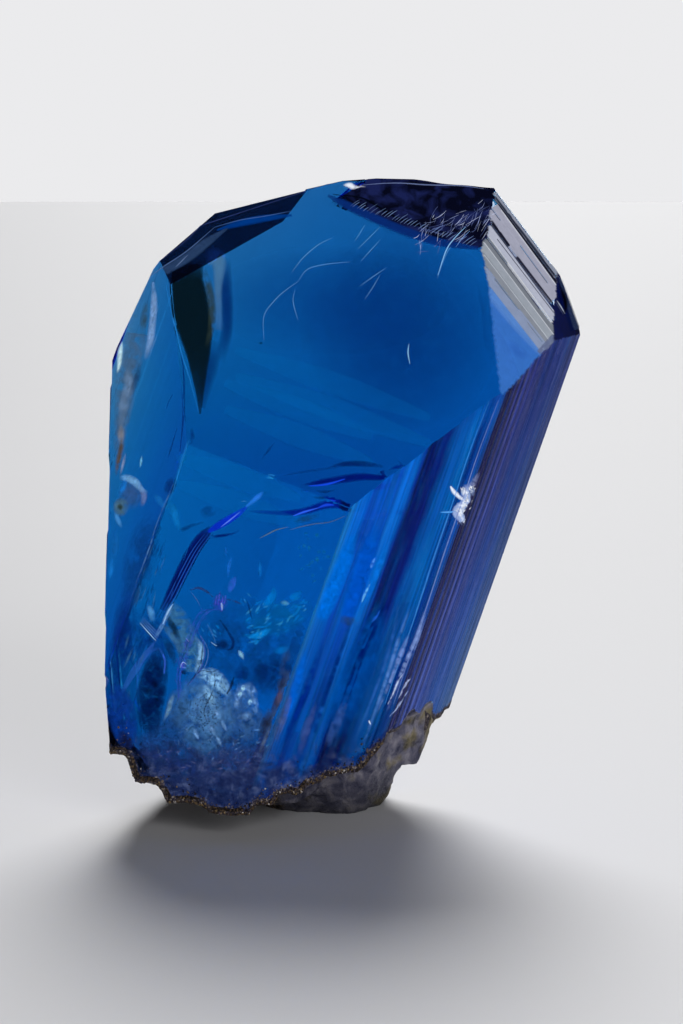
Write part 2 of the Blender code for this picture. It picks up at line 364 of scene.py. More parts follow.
# The brightest ink, and the least share of a colour that is taken to come out of the stone.
BRIGHTEST_INK = 2.0
LEAST_SHARE = 0.2

# In MM: marks over the stone start at one height and rise by a step from each to the next, in turns.
OVER_STONE = 0.075
OVER_NEXT = 0.003
OVER_LEVELS = 24
LEAST_DEPTH = 0.05
SHEET_BACK = FORWARD * 0.02 * MM


def uneven(x, y, seed, grain, finer):
    """Soft lumps over the picture, with finer ones on them."""
    return sum(share * noise.noise(Vector((x * grain * size, y * grain * size, seed)))
               for share, size in ((1, 1), (0.5, finer)))


def part_left(ragged, lump):
    """How much is left of a cover that lumps have worn through."""
    return min(1.0, max(0.0, 1 + 2.4 * ragged * lump))


class Inside:
    """Thin closed sheets and shards in one mesh, with a colour and a cover for each point.

    Each mark has a colour and a depth in the stone, in MM, where 0 lays it on the stone. Ragged is how broken
    up it is, and grain how fine the breaks are. A higher edge is sharper."""

    def __init__(self, name):
        self.name = name
        self.mesh = bmesh.new()
        self.ink = self.mesh.verts.layers.float_color.new("ink")
        self.rng = random.Random(name)
        self.laid = 0

    def draw(self, rows, only=None):
        """Marks from rows: a colour, a depth, how ragged, stops, and then what else the mark's kind takes.
        Stops with a width make a veil, others a hair, and one place makes a pool. A list of colours makes
        strokes, which have a cover in place of how ragged. Only keeps veils to the faces of one name."""
        for colour, depth, ragged, stops, *rest in rows:
            if isinstance(colour, list):
                self.strokes(colour, depth, ragged, stops, *rest)
            elif isinstance(stops, tuple):
                self.pool(colour, depth, ragged, stops, *rest)
            elif len(stops[0]) == 2:
                self.hair(colour, depth, ragged, stops, *rest)
            else:
                self.veil(colour, depth, ragged, stops, *rest, only=only)

    def point(self, place, colour):
        vert = self.mesh.verts.new(place)
        vert[self.ink] = colour
        return vert

    def closed_sheet(self, rows, inks):
        """A thin closed sheet through rows of points."""
        fronts = [[self.point(p, c) for p, c in zip(*both)] for both in zip(rows, inks)]
        backs = [[self.point(p + SHEET_BACK, c) for p, c in zip(*both)] for both in zip(rows, inks)]
        last_row, last = len(rows) - 1, len(rows[0]) - 1
        for i in range(last_row):
            for j in range(last):
                corners = ((i, j), (i, j + 1), (i + 1, j + 1), (i + 1, j))
                self.mesh.faces.new([fronts[a][b] for a, b in corners])
                self.mesh.faces.new([backs[a][b] for a, b in reversed(corners)])
        rim = [(0, j) for j in range(last)] + [(i, last) for i in range(last_row)]
        rim += [(last_row, j) for j in range(last, 0, -1)] + [(i, 0) for i in range(last_row, 0, -1)]
        for (a, b), (c, d) in zip(rim, rim[1:] + rim[:1]):
            self.mesh.faces.new((fronts[c][d], fronts[a][b], backs[a][b], backs[c][d]))

    def next_depth(self, depth):
        """The depth itself, or for 0 a place over the stone, just above the last one there."""
        if depth == 0:
            self.laid += 1
        return depth or -OVER_STONE - OVER_NEXT * (self.laid % OVER_LEVELS)

    def ink_of(self, colour, shares, cover):
        """The light that a colour needs so that its shares come out of the stone, with its cover."""
        return (*(min(BRIGHTEST_INK, linear(want) / share) for want, share in zip(colour, shares)), cover)

    def veil(self, colour, depth, ragged, stops, edge=2.0, grain=0.12, step=2.5, only=None):
        """A soft band through stops, each a sight, a width and a cover, which is 0 where it isn't given. Only
        keeps it to the faces of one name and the steps in them, and step is how wide its strips are."""
        depth = self.next_depth(depth)
        path = smooth_path([(*stop, 0)[:4] for stop in stops], 2.0)
        columns = max(2, round(max(stop[2] for stop in stops) / step))
        seed = self.rng.uniform(0, 100)
        rows, inks = [], []
        for i, (x, y, width, cover) in enumerate(path):
            ahead, behind = path[min(i + 1, len(path) - 1)], path[max(i - 1, 0)]
            along = Vector((ahead[0] - behind[0], ahead[1] - behind[1])).normalized()
            row, ink = [], []
            for j in range(columns + 1):
                part = 2 * j / columns - 1
                x_here = x - along.y * part * width / 2
                y_here = y + along.x * part * width / 2
                found = place_at(x_here, y_here, depth)
                if found is None:
                    break
                place, shares, name = found
                left = part_left(ragged, uneven(x_here, y_here, seed, grain, 2.6))
                if only and name not in (only, "back"):
                    left = 0
                row.append(place)
                fade = max(0.0, 1 - abs(part) ** edge)
                ink.append(self.ink_of(colour, shares, fade * max(0.0, cover) * left))
            if len(row) == columns + 1:
                rows.append(row)
                inks.append(ink)
        if len(rows) > 1:
            self.closed_sheet(rows, inks)

    def pool(self, colour, depth, ragged, place, cover, lean=0.0, edge=2.0, grain=0.08):
        """A soft round patch, whose place is a sight and how far it goes across and down. It may lean."""
        x, y, across, down = place
        spokes = max(16, round((across + down) / 5))
        rings = max(4, round(max(across, down) / 5))
        seed = self.rng.uniform(0, 100)
        turn = math.radians(lean)

        def sight(angle, part):
            aside, below = math.cos(angle) * across / 2 * part, math.sin(angle) * down / 2 * part
            return (x + aside * math.cos(turn) - below * math.sin(turn),
                    y + aside * math.sin(turn) + below * math.cos(turn))

        def point_pair(angle, part, reach):
            x_here, y_here = sight(angle, part * reach)
            lump = uneven(x_here, y_here, seed, grain, 2.9)
            point, shares, _ = place_at(x_here, y_here, max(LEAST_DEPTH, depth + 0.2 * lump))
            ink = self.ink_of(colour, shares, max(0.0, 1 - part ** edge) * cover * part_left(ragged, lump))
            return self.point(point, ink), self.point(point + SHEET_BACK, ink)

        angles = [2 * math.pi * i / spokes for i in range(spokes)]
        reaches = []
        for angle in angles:
            reach = 1.0
            while reach > 0.05 and place_at(*sight(angle, reach), depth) is None:
                reach -= 0.05
            reaches.append(reach)
        centre = point_pair(0.0, 0.0, 1.0)
        parts = [(j + 1) / rings for j in range(rings)]
        grid = [[point_pair(angle, part, reach) for part in parts] for angle, reach in zip(angles, reaches)]
        for here, there in zip(grid, grid[1:] + grid[:1]):
            for side in (0, 1):
                near, far = [pair[side] for pair in here], [pair[side] for pair in there]
                self.mesh.faces.new((centre[side], near[0], far[0]))
                for j in range(rings - 1):
                    self.mesh.faces.new((near[j], near[j + 1], far[j + 1], far[j]))
            self.mesh.faces.new((*here[-1], *reversed(there[-1])))

    def hair(self, colour, depth, ragged, stops, width=1.0, cover=0.5):
        """A fine line through sights, thinnest at its ends."""
        last = len(stops) - 1
        widths = [width * (0.35 + 0.65 * math.sin(math.pi * i / last)) for i in range(last + 1)]
        widened = [(*sight, wide, cover) for sight, wide in zip(stops, widths)]
        self.veil(colour, depth, ragged, widened, 12, 0.4)

    def strokes(self, colours, depths, cover, spots, count, length, width, lean, spread):
        """Short strokes strewn round spots, each a sight and a radius. They lean, give or take a spread."""
        for _ in range(count):
            x, y, radius = self.rng.choice(spots)
            turn, out = self.rng.uniform(0, 2 * math.pi), radius * math.sqrt(self.rng.random())
            x, y = x + out * math.cos(turn), y + out * math.sin(turn)
            angle = math.radians(lean + self.rng.uniform(-spread, spread))
            half = self.rng.uniform(0.3, 1.0) * length / 2
            dx, dy = half * math.cos(angle), -half * math.sin(angle)
            thick = width * self.rng.uniform(0.5, 1.2)
            stops = [(x - dx, y - dy, thick * 0.4), (x, y, thick, cover), (x + dx, y + dy, thick * 0.4)]
            self.veil(self.rng.choice(colours), self.rng.uniform(*depths), 0, stops)

    def shard(self, place, axis, length, width, colour):
        """A spindle with four sides, its length and width in MM."""
        axis = axis.normalized()
        side = axis.orthogonal().normalized()
        side.rotate(Matrix.Rotation(self.rng.uniform(0, math.pi), 3, axis))
        other = axis.cross(side)
        tips = [self.point(place + axis * length * MM * s / 2, colour) for s in (-1, 1)]
        waist = place + axis * length * MM * self.rng.uniform(-0.25, 0.25)
        corners = ((1, 0), (0, 1), (-1, 0), (0, -1))
        belt = [self.point(waist + (side * a + other * b) * width * MM / 2, colour) for a, b in corners]
        for a, b in zip(belt, belt[1:] + belt[:1]):
            self.mesh.faces.new((tips[0], b, a))
            self.mesh.faces.new((tips[1], a, b))

    def piece(self, material):
        bmesh.ops.recalc_face_normals(self.mesh, faces=self.mesh.faces)
        add_piece(self.name, self.mesh, material)


def ink_material(name, glow=0.85, mottle=0.15, wisps=0.0, wisp_size=0.8, crisp=0.0):
    """Each point's own colour and cover, mottled, parted into wisps of a size in MM, and crisply veined. The
    colour glows, as painted light.
    """
    g = Graph(name)
    ink = g.add("ShaderNodeAttribute", {}, attribute_name="ink")
    patches = g.ramp(g.noise(g.place(), 1.6 / MM, 3.0), [(0.3, 1 - mottle), (0.7, 1.0)])
    veins = g.noise(g.place(), 2.6 / MM, 12.0, 0.9, 0.72)
    veined = g.ramp(veins, [(0.36, 1 - crisp), (0.50, 1.0), (0.64, 1 + 0.6 * crisp)])
    colour = g.times(g.times(ink.outputs["Color"], patches), veined)
    smoke = g.noise(g.place(), 1 / (wisp_size * MM), 10.0, 1.1, 0.68)
    parted = g.ramp(smoke, [(0.40, 1 - wisps), (0.58, 1.0)])
    cover = g.math("MULTIPLY", ink.outputs["Alpha"], parted)
    g.glow(colour, lit=0.35, cover=cover, strength=glow, rough=0.7)
    return g.owner


def dark_reflection():
    """The dim green reflection behind the window's upper left edge, with its brown fringe and navy band."""
    group = Inside("dark_reflection")
    group.draw([
        ((5, 26, 38), 0.5, 0, [(189, 263, 30, 0.5), (187, 280, 34, 0.95), (189, 295, 37, 1.0),
         (192, 315, 39, 1.0), (196, 335, 34, 1.0), (198, 352, 26, 0.95), (199, 372, 17, 0.8),
         (200, 395, 8, 0.6), (200, 414, 2, 0.4)], 12),
        ((48, 62, 56), 0.45, 0.6, [(204, 268, 5), (209, 288, 9, 0.6), (212, 308, 9, 0.7), (211, 328, 8, 0.5),
         (206, 348, 5)]),
        ((95, 130, 165), 0.6, 0, [(204, 252, 8), (213, 256, 22, 0.5), (219, 264, 16, 0.45),
         (218, 290, 9, 0.35), (219, 330, 9, 0.1)]),
        ((0, 40, 110), 0.7, 0, [(228, 258, 6), (226, 285, 13, 0.6), (227, 310, 13, 0.7), (226, 335, 13, 0.5),
         (219, 362, 12)]),
        ((0, 44, 108), 0.8, 0, [(214, 340, 16), (209, 362, 22, 0.5), (205, 385, 16, 0.5),
         (202, 408, 6, 0.2)]),
    ])
    group.piece(ink_material("dim_reflection", mottle=0.1))


def left_wall_marks():
    """Brown and green smears under the narrow left wall, with pale and white streaks that are painted
    reflections.
    """
    group = Inside("left_wall_marks")
    group.draw([
        ((80, 106, 136), 0.7, 0.6, [(146, 284, 6, 0.3), (140, 310, 22, 0.5), (136, 340, 26, 0.45),
         (127, 375, 24, 0.6), (124, 405, 20, 0.6), (120, 435, 14, 0.5), (119, 462, 12)]),
        ((132, 172, 226), 0.5, 0.3, [(153, 282, 3, 0.4), (154, 298, 7, 0.85), (153, 318, 8, 0.85),
         (150, 342, 8, 0.8), (145, 360, 4)]),
        ((98, 118, 84), 0.4, 0.3, [(148, 276, 5, 0.4), (144, 288, 8, 0.75), (139, 304, 8, 0.6),
         (135, 318, 6)]),
        ((92, 158, 172), 0.4, 0.3, [(140, 302, 4), (135, 315, 8, 0.7), (129, 330, 6)]),
        ((54, 78, 92), 0.4, 0.4, [(147, 300, 4), (144, 318, 9, 0.6), (142, 340, 5)]),
        ((205, 240, 250), 0, 0, [(123, 342, 2, 0.2), (121, 352, 6, 1.0), (120, 364, 5, 1.0), (118, 374, 2)],
         4),
        ((112, 142, 180), 0.4, 0.5, [(126, 366, 5), (129, 385, 12, 0.7), (124, 405, 11, 0.6), (120, 428, 6)]),
        ((24, 60, 104), 0.35, 0.4, [(141, 362, 4), (136, 380, 8, 0.6), (130, 398, 4)]),
        ((138, 140, 150), 0.3, 0.3, [(121, 424, 4), (121, 434, 8, 0.8), (121, 446, 5)]),
        ((92, 76, 56), 0.3, 0.5, [(122, 438, 4), (121, 448, 6, 0.9), (118, 462, 6, 0.85), (116, 476, 3)], 2,
         0.3),
        ((130, 150, 190), 0.3, 0, [(126, 452, 2), (123, 464, 4, 0.7), (120, 476, 2)]),
        ((52, 92, 150), 0.7, 0.5, (131, 494, 26, 34), 0.75),
        ((122, 182, 238), 0.5, 0.7, [(119, 478, 5), (127, 478, 8, 0.8), (135, 482, 9, 0.9),
         (142, 490, 6, 0.6), (148, 493, 4)], 2, 0.25),
        ((20, 128, 224), 0.5, 0.3, [(126, 478, 4), (123, 488, 7, 0.8), (119, 496, 3)]),
        ((118, 140, 196), 0.5, 0.5, [(138, 484, 4), (144, 496, 7, 0.7), (141, 508, 4)]),
        ((84, 118, 130), 0.4, 0.6, (121, 507, 17, 20), 0.8),
        ((40, 60, 58), 0.3, 0.3, (120, 507, 6, 7), 0.9),
        ((84, 164, 236), 0.4, 0.4, [(115, 512, 4), (118, 520, 6, 0.8), (122, 528, 3)]),
        ((18, 108, 190), 0.4, 0.6, [(116, 530, 6), (115, 545, 9, 0.6), (113, 560, 6)]),
        ((26, 138, 234), 0.3, 0.3, [(112, 558, 3), (111, 568, 6, 0.8), (110, 580, 3)]),
        ((120, 200, 245), 0.1, 0, [(142, 455, 1), (141, 462, 3, 1), (140, 468, 1)]),
        ((14, 126, 206), 1, 0.4, [(167, 500, 5), (173, 510, 9, 0.7), (177, 522, 7, 0.6), (181, 532, 3)]),
        ((24, 122, 202), 1, 0.5, [(154, 494, 4), (160, 501, 8, 0.6), (165, 509, 3)]),
        ((0, 46, 116), 0.8, 0.6, (170, 486, 12, 20), 0.6, 20),
        ((0, 56, 124), 0.8, 0.8, (208, 512, 18, 12), 0.3),
        ((4, 62, 132), 0.9, 0.6, (140, 560, 34, 100), 0.6, 14),
        ((2, 44, 124), 0.8, 0.5, (122, 640, 26, 120), 0.7, 8),
        ((8, 56, 144), 0.5, 0.4, (122, 716, 30, 70), 0.95, -12, 5),
        ((18, 22, 52), 0.4, 0.8, (126, 742, 16, 26), 0.8, -30, 2, 0.3),
        ([(18, 100, 190), (70, 120, 160), (0, 36, 104)], (0.5, 1.0), 0.4, [(152, 560, 14), (146, 600, 14),
         (132, 650, 14), (124, 700, 10)], 60, 26, 3.0, 72, 8),
        ((0, 52, 130), 0.05, 0, [(173, 394), (169, 401), (166, 410)], 1.4, 0.7),
        ((0, 45, 110), 0.05, 0, [(177, 428), (172, 445), (168, 458)], 1.6, 0.8),
        ((0, 50, 120), 0.6, 0, [(192, 428, 3), (192, 436, 6, 0.6), (192, 444, 3)]),
    ])
    group.piece(ink_material("wall_smears_and_reflections", mottle=0.25, wisps=0.3, wisp_size=0.7, crisp=0.35))


def blue_feather():
    """The feathered fracture: a bright plume, a navy sheath of parallel bright and dark lines that are
    painted sheen, and pale frayed tips.
    """
    group = Inside("blue_feather")
    navy = (4, 26, 110)
    group.veil(navy, 1.3, 0, [(211, 528, 6, 0.3), (203, 537, 13, 0.9), (195, 548, 14, 0.95),
               (187, 562, 14, 0.95), (178, 580, 13, 0.95), (170, 596, 11, 0.9), (162, 610, 7, 0.3)], 6)
    # Painted sheen: alternating bright and dark lines along the fracture's sheath.
    for i in range(7):
        aside = -5.0 + 1.7 * i
        tone = (40, 100, 200) if i % 2 else (0, 10, 60)
        group.hair(tone, 1.2, 0, [(208 + aside, 534), (196 + aside, 550), (184 + aside, 572),
                   (172 + aside, 596), (160 + aside, 618)], 1.2, 0.7)
    group.draw([
        ((10, 50, 205), 1.2, 0, [(208, 532, 3, 0.6), (216, 527, 8, 1), (228, 520, 9, 1), (239, 513, 7, 1),
         (247, 507, 3, 0.5)], 4),
        ((110, 150, 255), 1.1, 0, [(221, 527), (230, 520), (240, 512)], 1.6, 0.9),
        ((45, 130, 240), 1.1, 0, [(246, 507, 3, 0.5), (253, 501, 6, 0.9), (259, 496, 6, 0.9), (264, 491, 2)]),
        ((90, 160, 210), 1.1, 0, [(241, 502), (244, 501), (247, 502)], 1.2),
        ((0, 20, 110), 1, 0, [(211, 537, 3), (219, 536, 4, 0.9), (232, 534, 3, 0.5), (240, 530, 2)]),
        ((0, 45, 110), 1, 0, [(178, 530, 4), (184, 529, 6, 0.5), (193, 525, 4, 0.4), (205, 522, 3)]),
        ((0, 50, 120), 1, 0, [(200, 512, 5), (206, 510, 9, 0.35), (213, 508, 5)]),
        ((160, 205, 250), 1, 0.6, [(173, 604), (168, 612), (163, 624)], 3.0, 0.9),
    ])
    for i in range(4):
        group.hair((120, 170, 230), 1, 0.5, [(169 + i * 1.2, 608), (161 + i * 1.2, 624), (154 + i, 638)], 0.9,
                   0.7)
    for i in range(4):
        group.hair((190, 220, 250) if i == 0 else (90, 140, 205), 0.8, 0, [(140 + i, 623 - 2 * i),
                   (148 + i, 632 - 2 * i), (156 + i, 641 - 2.4 * i)], 1.4 - 0.15 * i, 0.85)
    group.veil((90, 165, 230), 1, 0.4, [(148, 604, 4), (151, 612, 8, 0.7), (153, 622, 6)])
    for i in range(6):
        group.hair((55, 105, 200), 0.9, 0, [(156 - i, 640 + i), (142 - i * 2, 664 + i), (124 - i, 692 + i)],
                   1.2, 0.45)
    group.piece(ink_material("feather_blue", mottle=0.2, wisps=0.15, wisp_size=0.4))


def lens_fractures():
    """Flat curved cracks that show as navy lenses with bright cores, and the beaded trail right of them."""
    group = Inside("lens_fractures")
    core = (35, 85, 245)
    group.draw([
        ((0, 22, 118), 2, 0, [(302, 485, 1), (318, 483, 7, 0.9), (338, 480, 9, 0.9), (360, 477, 9, 0.9),
         (382, 478, 6, 0.8), (393, 480, 1)]),
        (core, 1.9, 0, [(309, 486), (322, 485), (332, 483), (345, 479)], 3.2, 0.8),
        ((0, 34, 104), 1, 0, [(326, 468, 1), (345, 464, 6, 0.7), (365, 464, 7, 0.75), (385, 467, 2)]),
        ((0, 50, 120), 2.2, 0, [(278, 476, 1), (310, 471, 3, 0.4), (345, 466, 2)]),
        ((0, 45, 105), 2.2, 0, [(315, 491, 2), (325, 492, 4, 0.6), (335, 490, 1)]),
        ((0, 34, 130), 2, 0, [(388, 470, 1), (397, 467, 5, 0.7), (405, 466, 1)]),
        ((0, 30, 140), 1.6, 0, [(246, 511, 1), (262, 512, 4, 0.6), (285, 513, 6, 0.85), (305, 511, 8, 0.95),
         (325, 505, 10, 0.95), (340, 504, 10, 0.9), (350, 508, 3, 0.3)]),
        ((60, 110, 255), 1.5, 0, [(293, 516), (304, 512), (318, 508)], 2.8, 0.9),
        (core, 1.5, 0, [(318, 508), (326, 505), (334, 505)], 4.0, 0.7),
        ((0, 16, 70), 1.5, 0, [(338, 504, 2), (344, 508, 7, 0.9), (350, 510, 2)]),
        ((0, 110, 235), 0.6, 0.4, [(350, 513, 3), (360, 514, 7, 0.6), (376, 515, 8, 0.7),
         (390, 515, 5, 0.3)]),
        ([(40, 140, 250), (30, 90, 240), (110, 190, 255)], (0.3, 0.7), 0.9, [(360, 515, 5), (376, 515, 6),
         (386, 514, 4), (412, 513, 5), (422, 513, 5)], 46, 6, 2.4, 15, 60),
        ((0, 22, 80), 0.5, 0, [(391, 512, 1), (398, 512, 6, 0.85), (406, 513, 1)]),
        ((20, 70, 235), 0.5, 0, [(404, 513, 1), (416, 513, 5, 0.8), (430, 513, 2)]),
        ((30, 150, 230), 0.4, 0, [(431, 510, 1), (441, 510, 4, 0.8), (452, 512, 1)]),
        ((40, 150, 220), 1, 0, [(265, 478, 1), (271, 477, 4, 0.6), (276, 475, 1)]),
        ((0, 50, 120), 1.5, 0, [(262, 459, 1), (268, 451, 3, 0.6), (275, 442, 1)]),
        ((0, 60, 110), 1, 0, [(348, 520, 4), (364, 541, 7, 0.4), (369, 545, 4)]),
        ((105, 125, 130), 0.3, 0, [(260, 538), (268, 534), (276, 530), (288, 527)], 1.3, 0.9),
        ((90, 100, 105), 0.3, 0, [(290, 530), (300, 527), (314, 524), (330, 522), (345, 516)], 1.2, 0.8),
        ((20, 70, 110), 1.2, 0.5, [(293, 522, 2), (305, 519, 8, 0.4), (322, 514, 4)]),
    ])
    group.piece(ink_material("fracture_blue", mottle=0.15))


def violet_vein():
    """The violet crack that winds down from a bright knot, with its dark and brown side branches."""
    group = Inside("violet_vein")
    violet, deep, brown = (60, 84, 204), (36, 58, 160), (46, 48, 98)
    group.draw([
        (brown, 1.2, 0.9, [(190, 590), (198, 588), (206, 591), (213, 597)], 3.4, 0.8),
        ((96, 110, 160), 1.2, 0.7, [(191, 592), (197, 600), (200, 606)], 1.2, 0.7),
        ((48, 70, 190), 1.1, 1, (220, 603, 17, 20), 0.6, 0, 2, 0.35),
    ])
    for x, y, height in ((216, 600, 9), (219, 598, 14), (222, 604, 16), (225, 600, 10)):
        group.hair((92, 98, 228), 1, 0.8, [(x + 1, y - height / 2), (x, y), (x - 1, y + height / 2)], 1.8,
                   0.9)
    group.veil((225, 205, 255), 0.9, 0, [(221, 602, 1), (222, 606, 3, 1), (222, 611, 1)])
    for shift in (-2, 0, 3, 5):
        group.hair(violet if shift else deep, 1.1, 1.1, [(213 + shift, 609), (203 + shift * 1.2, 612),
                   (196 + shift, 622), (190 + shift, 636), (185 + shift * 0.8, 650), (181 + shift, 662),
                   (178 + shift / 2, 676), (179 + shift / 2, 690), (178, 700)], 1.5, 0.8)
    group.draw([
        ([violet, (92, 110, 226), deep], (0.9, 1.2), 0.7, [(207, 612, 8), (194, 628, 6), (187, 645, 5),
         (182, 664, 7), (181, 682, 6), (180, 692, 5)], 60, 5, 1.2, 70, 50),
        ((190, 170, 255), 0.9, 0, [(186, 638), (189, 642)], 1.4, 0.9),
        ((92, 100, 224), 0.95, 1, (183, 665, 7, 6), 0.7, 0, 2, 0.4),
        ((225, 210, 255), 0.9, 0, [(180, 668), (183, 662), (187, 665)], 1.2, 1),
        ((210, 195, 255), 0.9, 0, [(182, 667), (186, 668)], 1, 0.9),
        ((6, 12, 50), 0.9, 0.4, (184, 672, 7, 6), 0.8),
        ((84, 92, 178), 1.2, 0.9, [(197, 630), (203, 642), (205, 654), (201, 668), (194, 678), (186, 688)],
         1.5, 0.8),
        ((110, 140, 200), 1.2, 0.9, [(201, 636), (208, 650), (206, 664), (198, 676)], 1.1, 0.7),
        ((90, 150, 215), 1.1, 0.7, [(207, 624), (212, 633), (216, 644)], 1.3, 0.7),
        ((190, 215, 250), 1, 0, [(211, 642), (215, 645), (217, 646)], 1.3, 0.9),
        ((2, 22, 84), 1.3, 0.4, [(220, 620), (227, 630), (233, 641), (232, 648), (227, 650)], 3.6, 0.85),
        (brown, 1.2, 0.8, [(226, 599), (234, 601), (241, 604)], 2.6, 0.7),
        ((0, 40, 105), 1.4, 0.4, [(247, 601), (250, 611), (252, 619)], 2.4, 0.8),
    ])
    group.piece(ink_material("vein_violet", mottle=0.3, wisps=0.35, wisp_size=0.3, crisp=0.4))


def pale_cloud():
    """The milky knot low in the stone, with its dark oval pocket, crack lines, specks and brown stains."""
    group = Inside("pale_cloud")
    milk, frost, crack, navy = (100, 138, 190), (148, 190, 236), (6, 20, 52), (0, 34, 98)
    group.draw([
        ((42, 68, 126), 2.3, 0.3, (212, 750, 150, 110), 0.85, 0, 4),
        ((34, 52, 112), 1.2, 0.5, (172, 766, 110, 56), 0.8, 25),
        ((50, 60, 114), 1.1, 0.6, (245, 772, 110, 56), 0.8),
        ((6, 66, 138), 2.8, 0.6, (246, 652, 150, 110), 0.55),
        (navy, 2, 0.5, (269, 674, 54, 44), 0.65),
        ((6, 50, 130), 2.4, 0.5, (150, 640, 60, 70), 0.6, -12),
        ((86, 126, 166), 2, 0.8, [(168, 600, 8), (176, 616, 22, 0.6), (186, 634, 22, 0.65),
         (191, 652, 18, 0.75), (191, 672, 14, 0.4)], 2, 0.2),
        ((78, 114, 156), 1.8, 0.5, [(159, 624, 3), (170, 632, 9, 0.7), (179, 646, 9, 0.7), (182, 664, 4)], 2,
         0.2),
        ((12, 40, 70), 1.7, 0.3, [(165, 612, 3), (173, 627, 8, 0.85), (182, 644, 4)]),
        ((12, 38, 80), 1.7, 0.3, [(163, 636, 3), (170, 648, 10, 0.75), (176, 666, 4)]),
        ((0, 24, 78), 1.5, 0.25, [(162, 650, 14), (155, 672, 28, 0.85), (151, 698, 30, 0.9),
         (150, 722, 24, 0.7), (155, 742, 12)], 4),
        ((40, 94, 184), 1.4, 0.6, [(136, 690), (140, 668), (150, 652), (160, 650), (165, 662)], 4.5, 0.6),
        ((70, 110, 228), 1.3, 0.4, [(163, 654), (165, 662), (164, 674)], 3.0, 0.8),
        ((88, 122, 176), 1.9, 0.8, (206, 712, 66, 92), 0.85, 0, 2, 0.14),
        ((66, 100, 152), 1.8, 0.5, (178, 708, 26, 40), 0.7),
        ((124, 160, 196), 1.3, 0.5, [(174, 694, 3), (171, 702, 6, 0.85), (167, 714, 5, 0.7), (163, 722, 2)],
         2, 0.3),
        (frost, 1.4, 0.6, [(195, 636, 3), (201, 648, 7, 0.95), (200, 660, 8, 0.95), (195, 674, 4)], 2, 0.3),
        (frost, 1.4, 1.1, [(196, 676, 5), (206, 674, 14, 0.9), (215, 679, 20, 0.9), (224, 688, 14, 0.7),
         (230, 697, 5)], 2, 0.34, 1.5),
        (frost, 1.4, 1.1, [(203, 684, 5), (209, 694, 12, 0.8), (213, 708, 6)], 2, 0.34, 1.5),
        (milk, 1.5, 0.9, [(198, 686, 8), (204, 700, 26, 0.8), (210, 716, 34, 0.65), (216, 738, 20)], 2, 0.22),
    ])
    for x, y, across, down, lean, cover in ((246, 694, 26, 30, 0, 0.5), (248, 722, 34, 40, 12, 0.45),
                                            (236, 706, 26, 40, 10, 0.4)):
        group.pool((84, 118, 172), 1.6, 1.4, (x, y, across, down), cover, lean, 2, 0.2)
    for x, y, across, down, lean in ((241, 692, 11, 22, 30), (251, 690, 10, 18, -35), (255, 704, 8, 20, -8),
                                     (247, 716, 10, 12, 40), (237, 702, 7, 14, 15)):
        group.pool((118, 156, 214), 1.3, 1.6, (x, y, across, down), 0.75, lean, 2, 0.42)
    for x, y in ((240, 694), (243, 688), (250, 702)):
        group.pool((196, 218, 252), 1.2, 0.8, (x, y, 5, 7), 0.85, 20, 2, 0.5)
    for x, y in ((217, 714), (213, 731), (219, 741), (224, 726), (196, 734)):
        group.veil((134, 174, 232), 1.3, 0.8, [(x - 3, y - 6, 2), (x, y, 5, 0.8), (x + 3, y + 6, 2)], 2, 0.3)
    group.draw([
        ([crack, (20, 46, 92)], (1.0, 1.3), 0.8, [(203, 708, 12), (206, 722, 12), (212, 700, 10)], 110, 2.8,
         1.9, 60, 90),
        ([(110, 150, 205), (22, 44, 100), (84, 112, 168)], (0.9, 1.6), 0.6, [(212, 720, 30), (236, 730, 26),
         (200, 742, 26), (250, 756, 22)], 110, 8, 1.8, 60, 60),
        ([(84, 96, 150), (20, 26, 84), (104, 108, 158)], (0.5, 1.0), 0.6, [(215, 782, 44), (170, 772, 24),
         (262, 766, 16)], 90, 9, 2.6, 10, 40),
    ])
    for stops, wide in (([(214, 672), (215, 683), (211, 695), (207, 704)], 1.8),
                        ([(186, 688), (192, 679), (201, 671), (212, 672), (218, 669)], 1.5),
                        ([(234, 677), (231, 686), (227, 694)], 4.0),
                        ([(203, 641), (201, 662), (193, 679)], 1.3),
                        ([(209, 697), (204, 712), (207, 722)], 1.2)):
        group.hair(crack, 1.2, 0.5, stops, wide, 0.9)
    group.draw([
        ((0, 36, 96), 1.7, 0.4, (222, 645, 16, 12), 0.8),
        ((0, 40, 112), 1.7, 0.5, (242, 673, 18, 16), 0.7),
        ((66, 80, 120), 1.8, 0.8, [(287, 645, 6), (286, 662, 12, 0.5), (284, 690, 18, 0.6),
         (272, 722, 20, 0.6), (260, 746, 8)]),
        ((112, 96, 112), 1.6, 0.7, [(284, 690, 4), (287, 700, 9, 0.6), (283, 712, 4)]),
        ((40, 40, 62), 1.5, 0.8, [(272, 712, 6), (266, 722, 12, 0.7), (260, 738, 5)]),
        ((104, 110, 140), 1.4, 0.7, [(272, 724, 3), (264, 742, 5, 0.7), (258, 756, 3)]),
    ])
    group.piece(ink_material("milky_cloud", mottle=0.3, wisps=0.45, wisp_size=0.7, crisp=0.6))


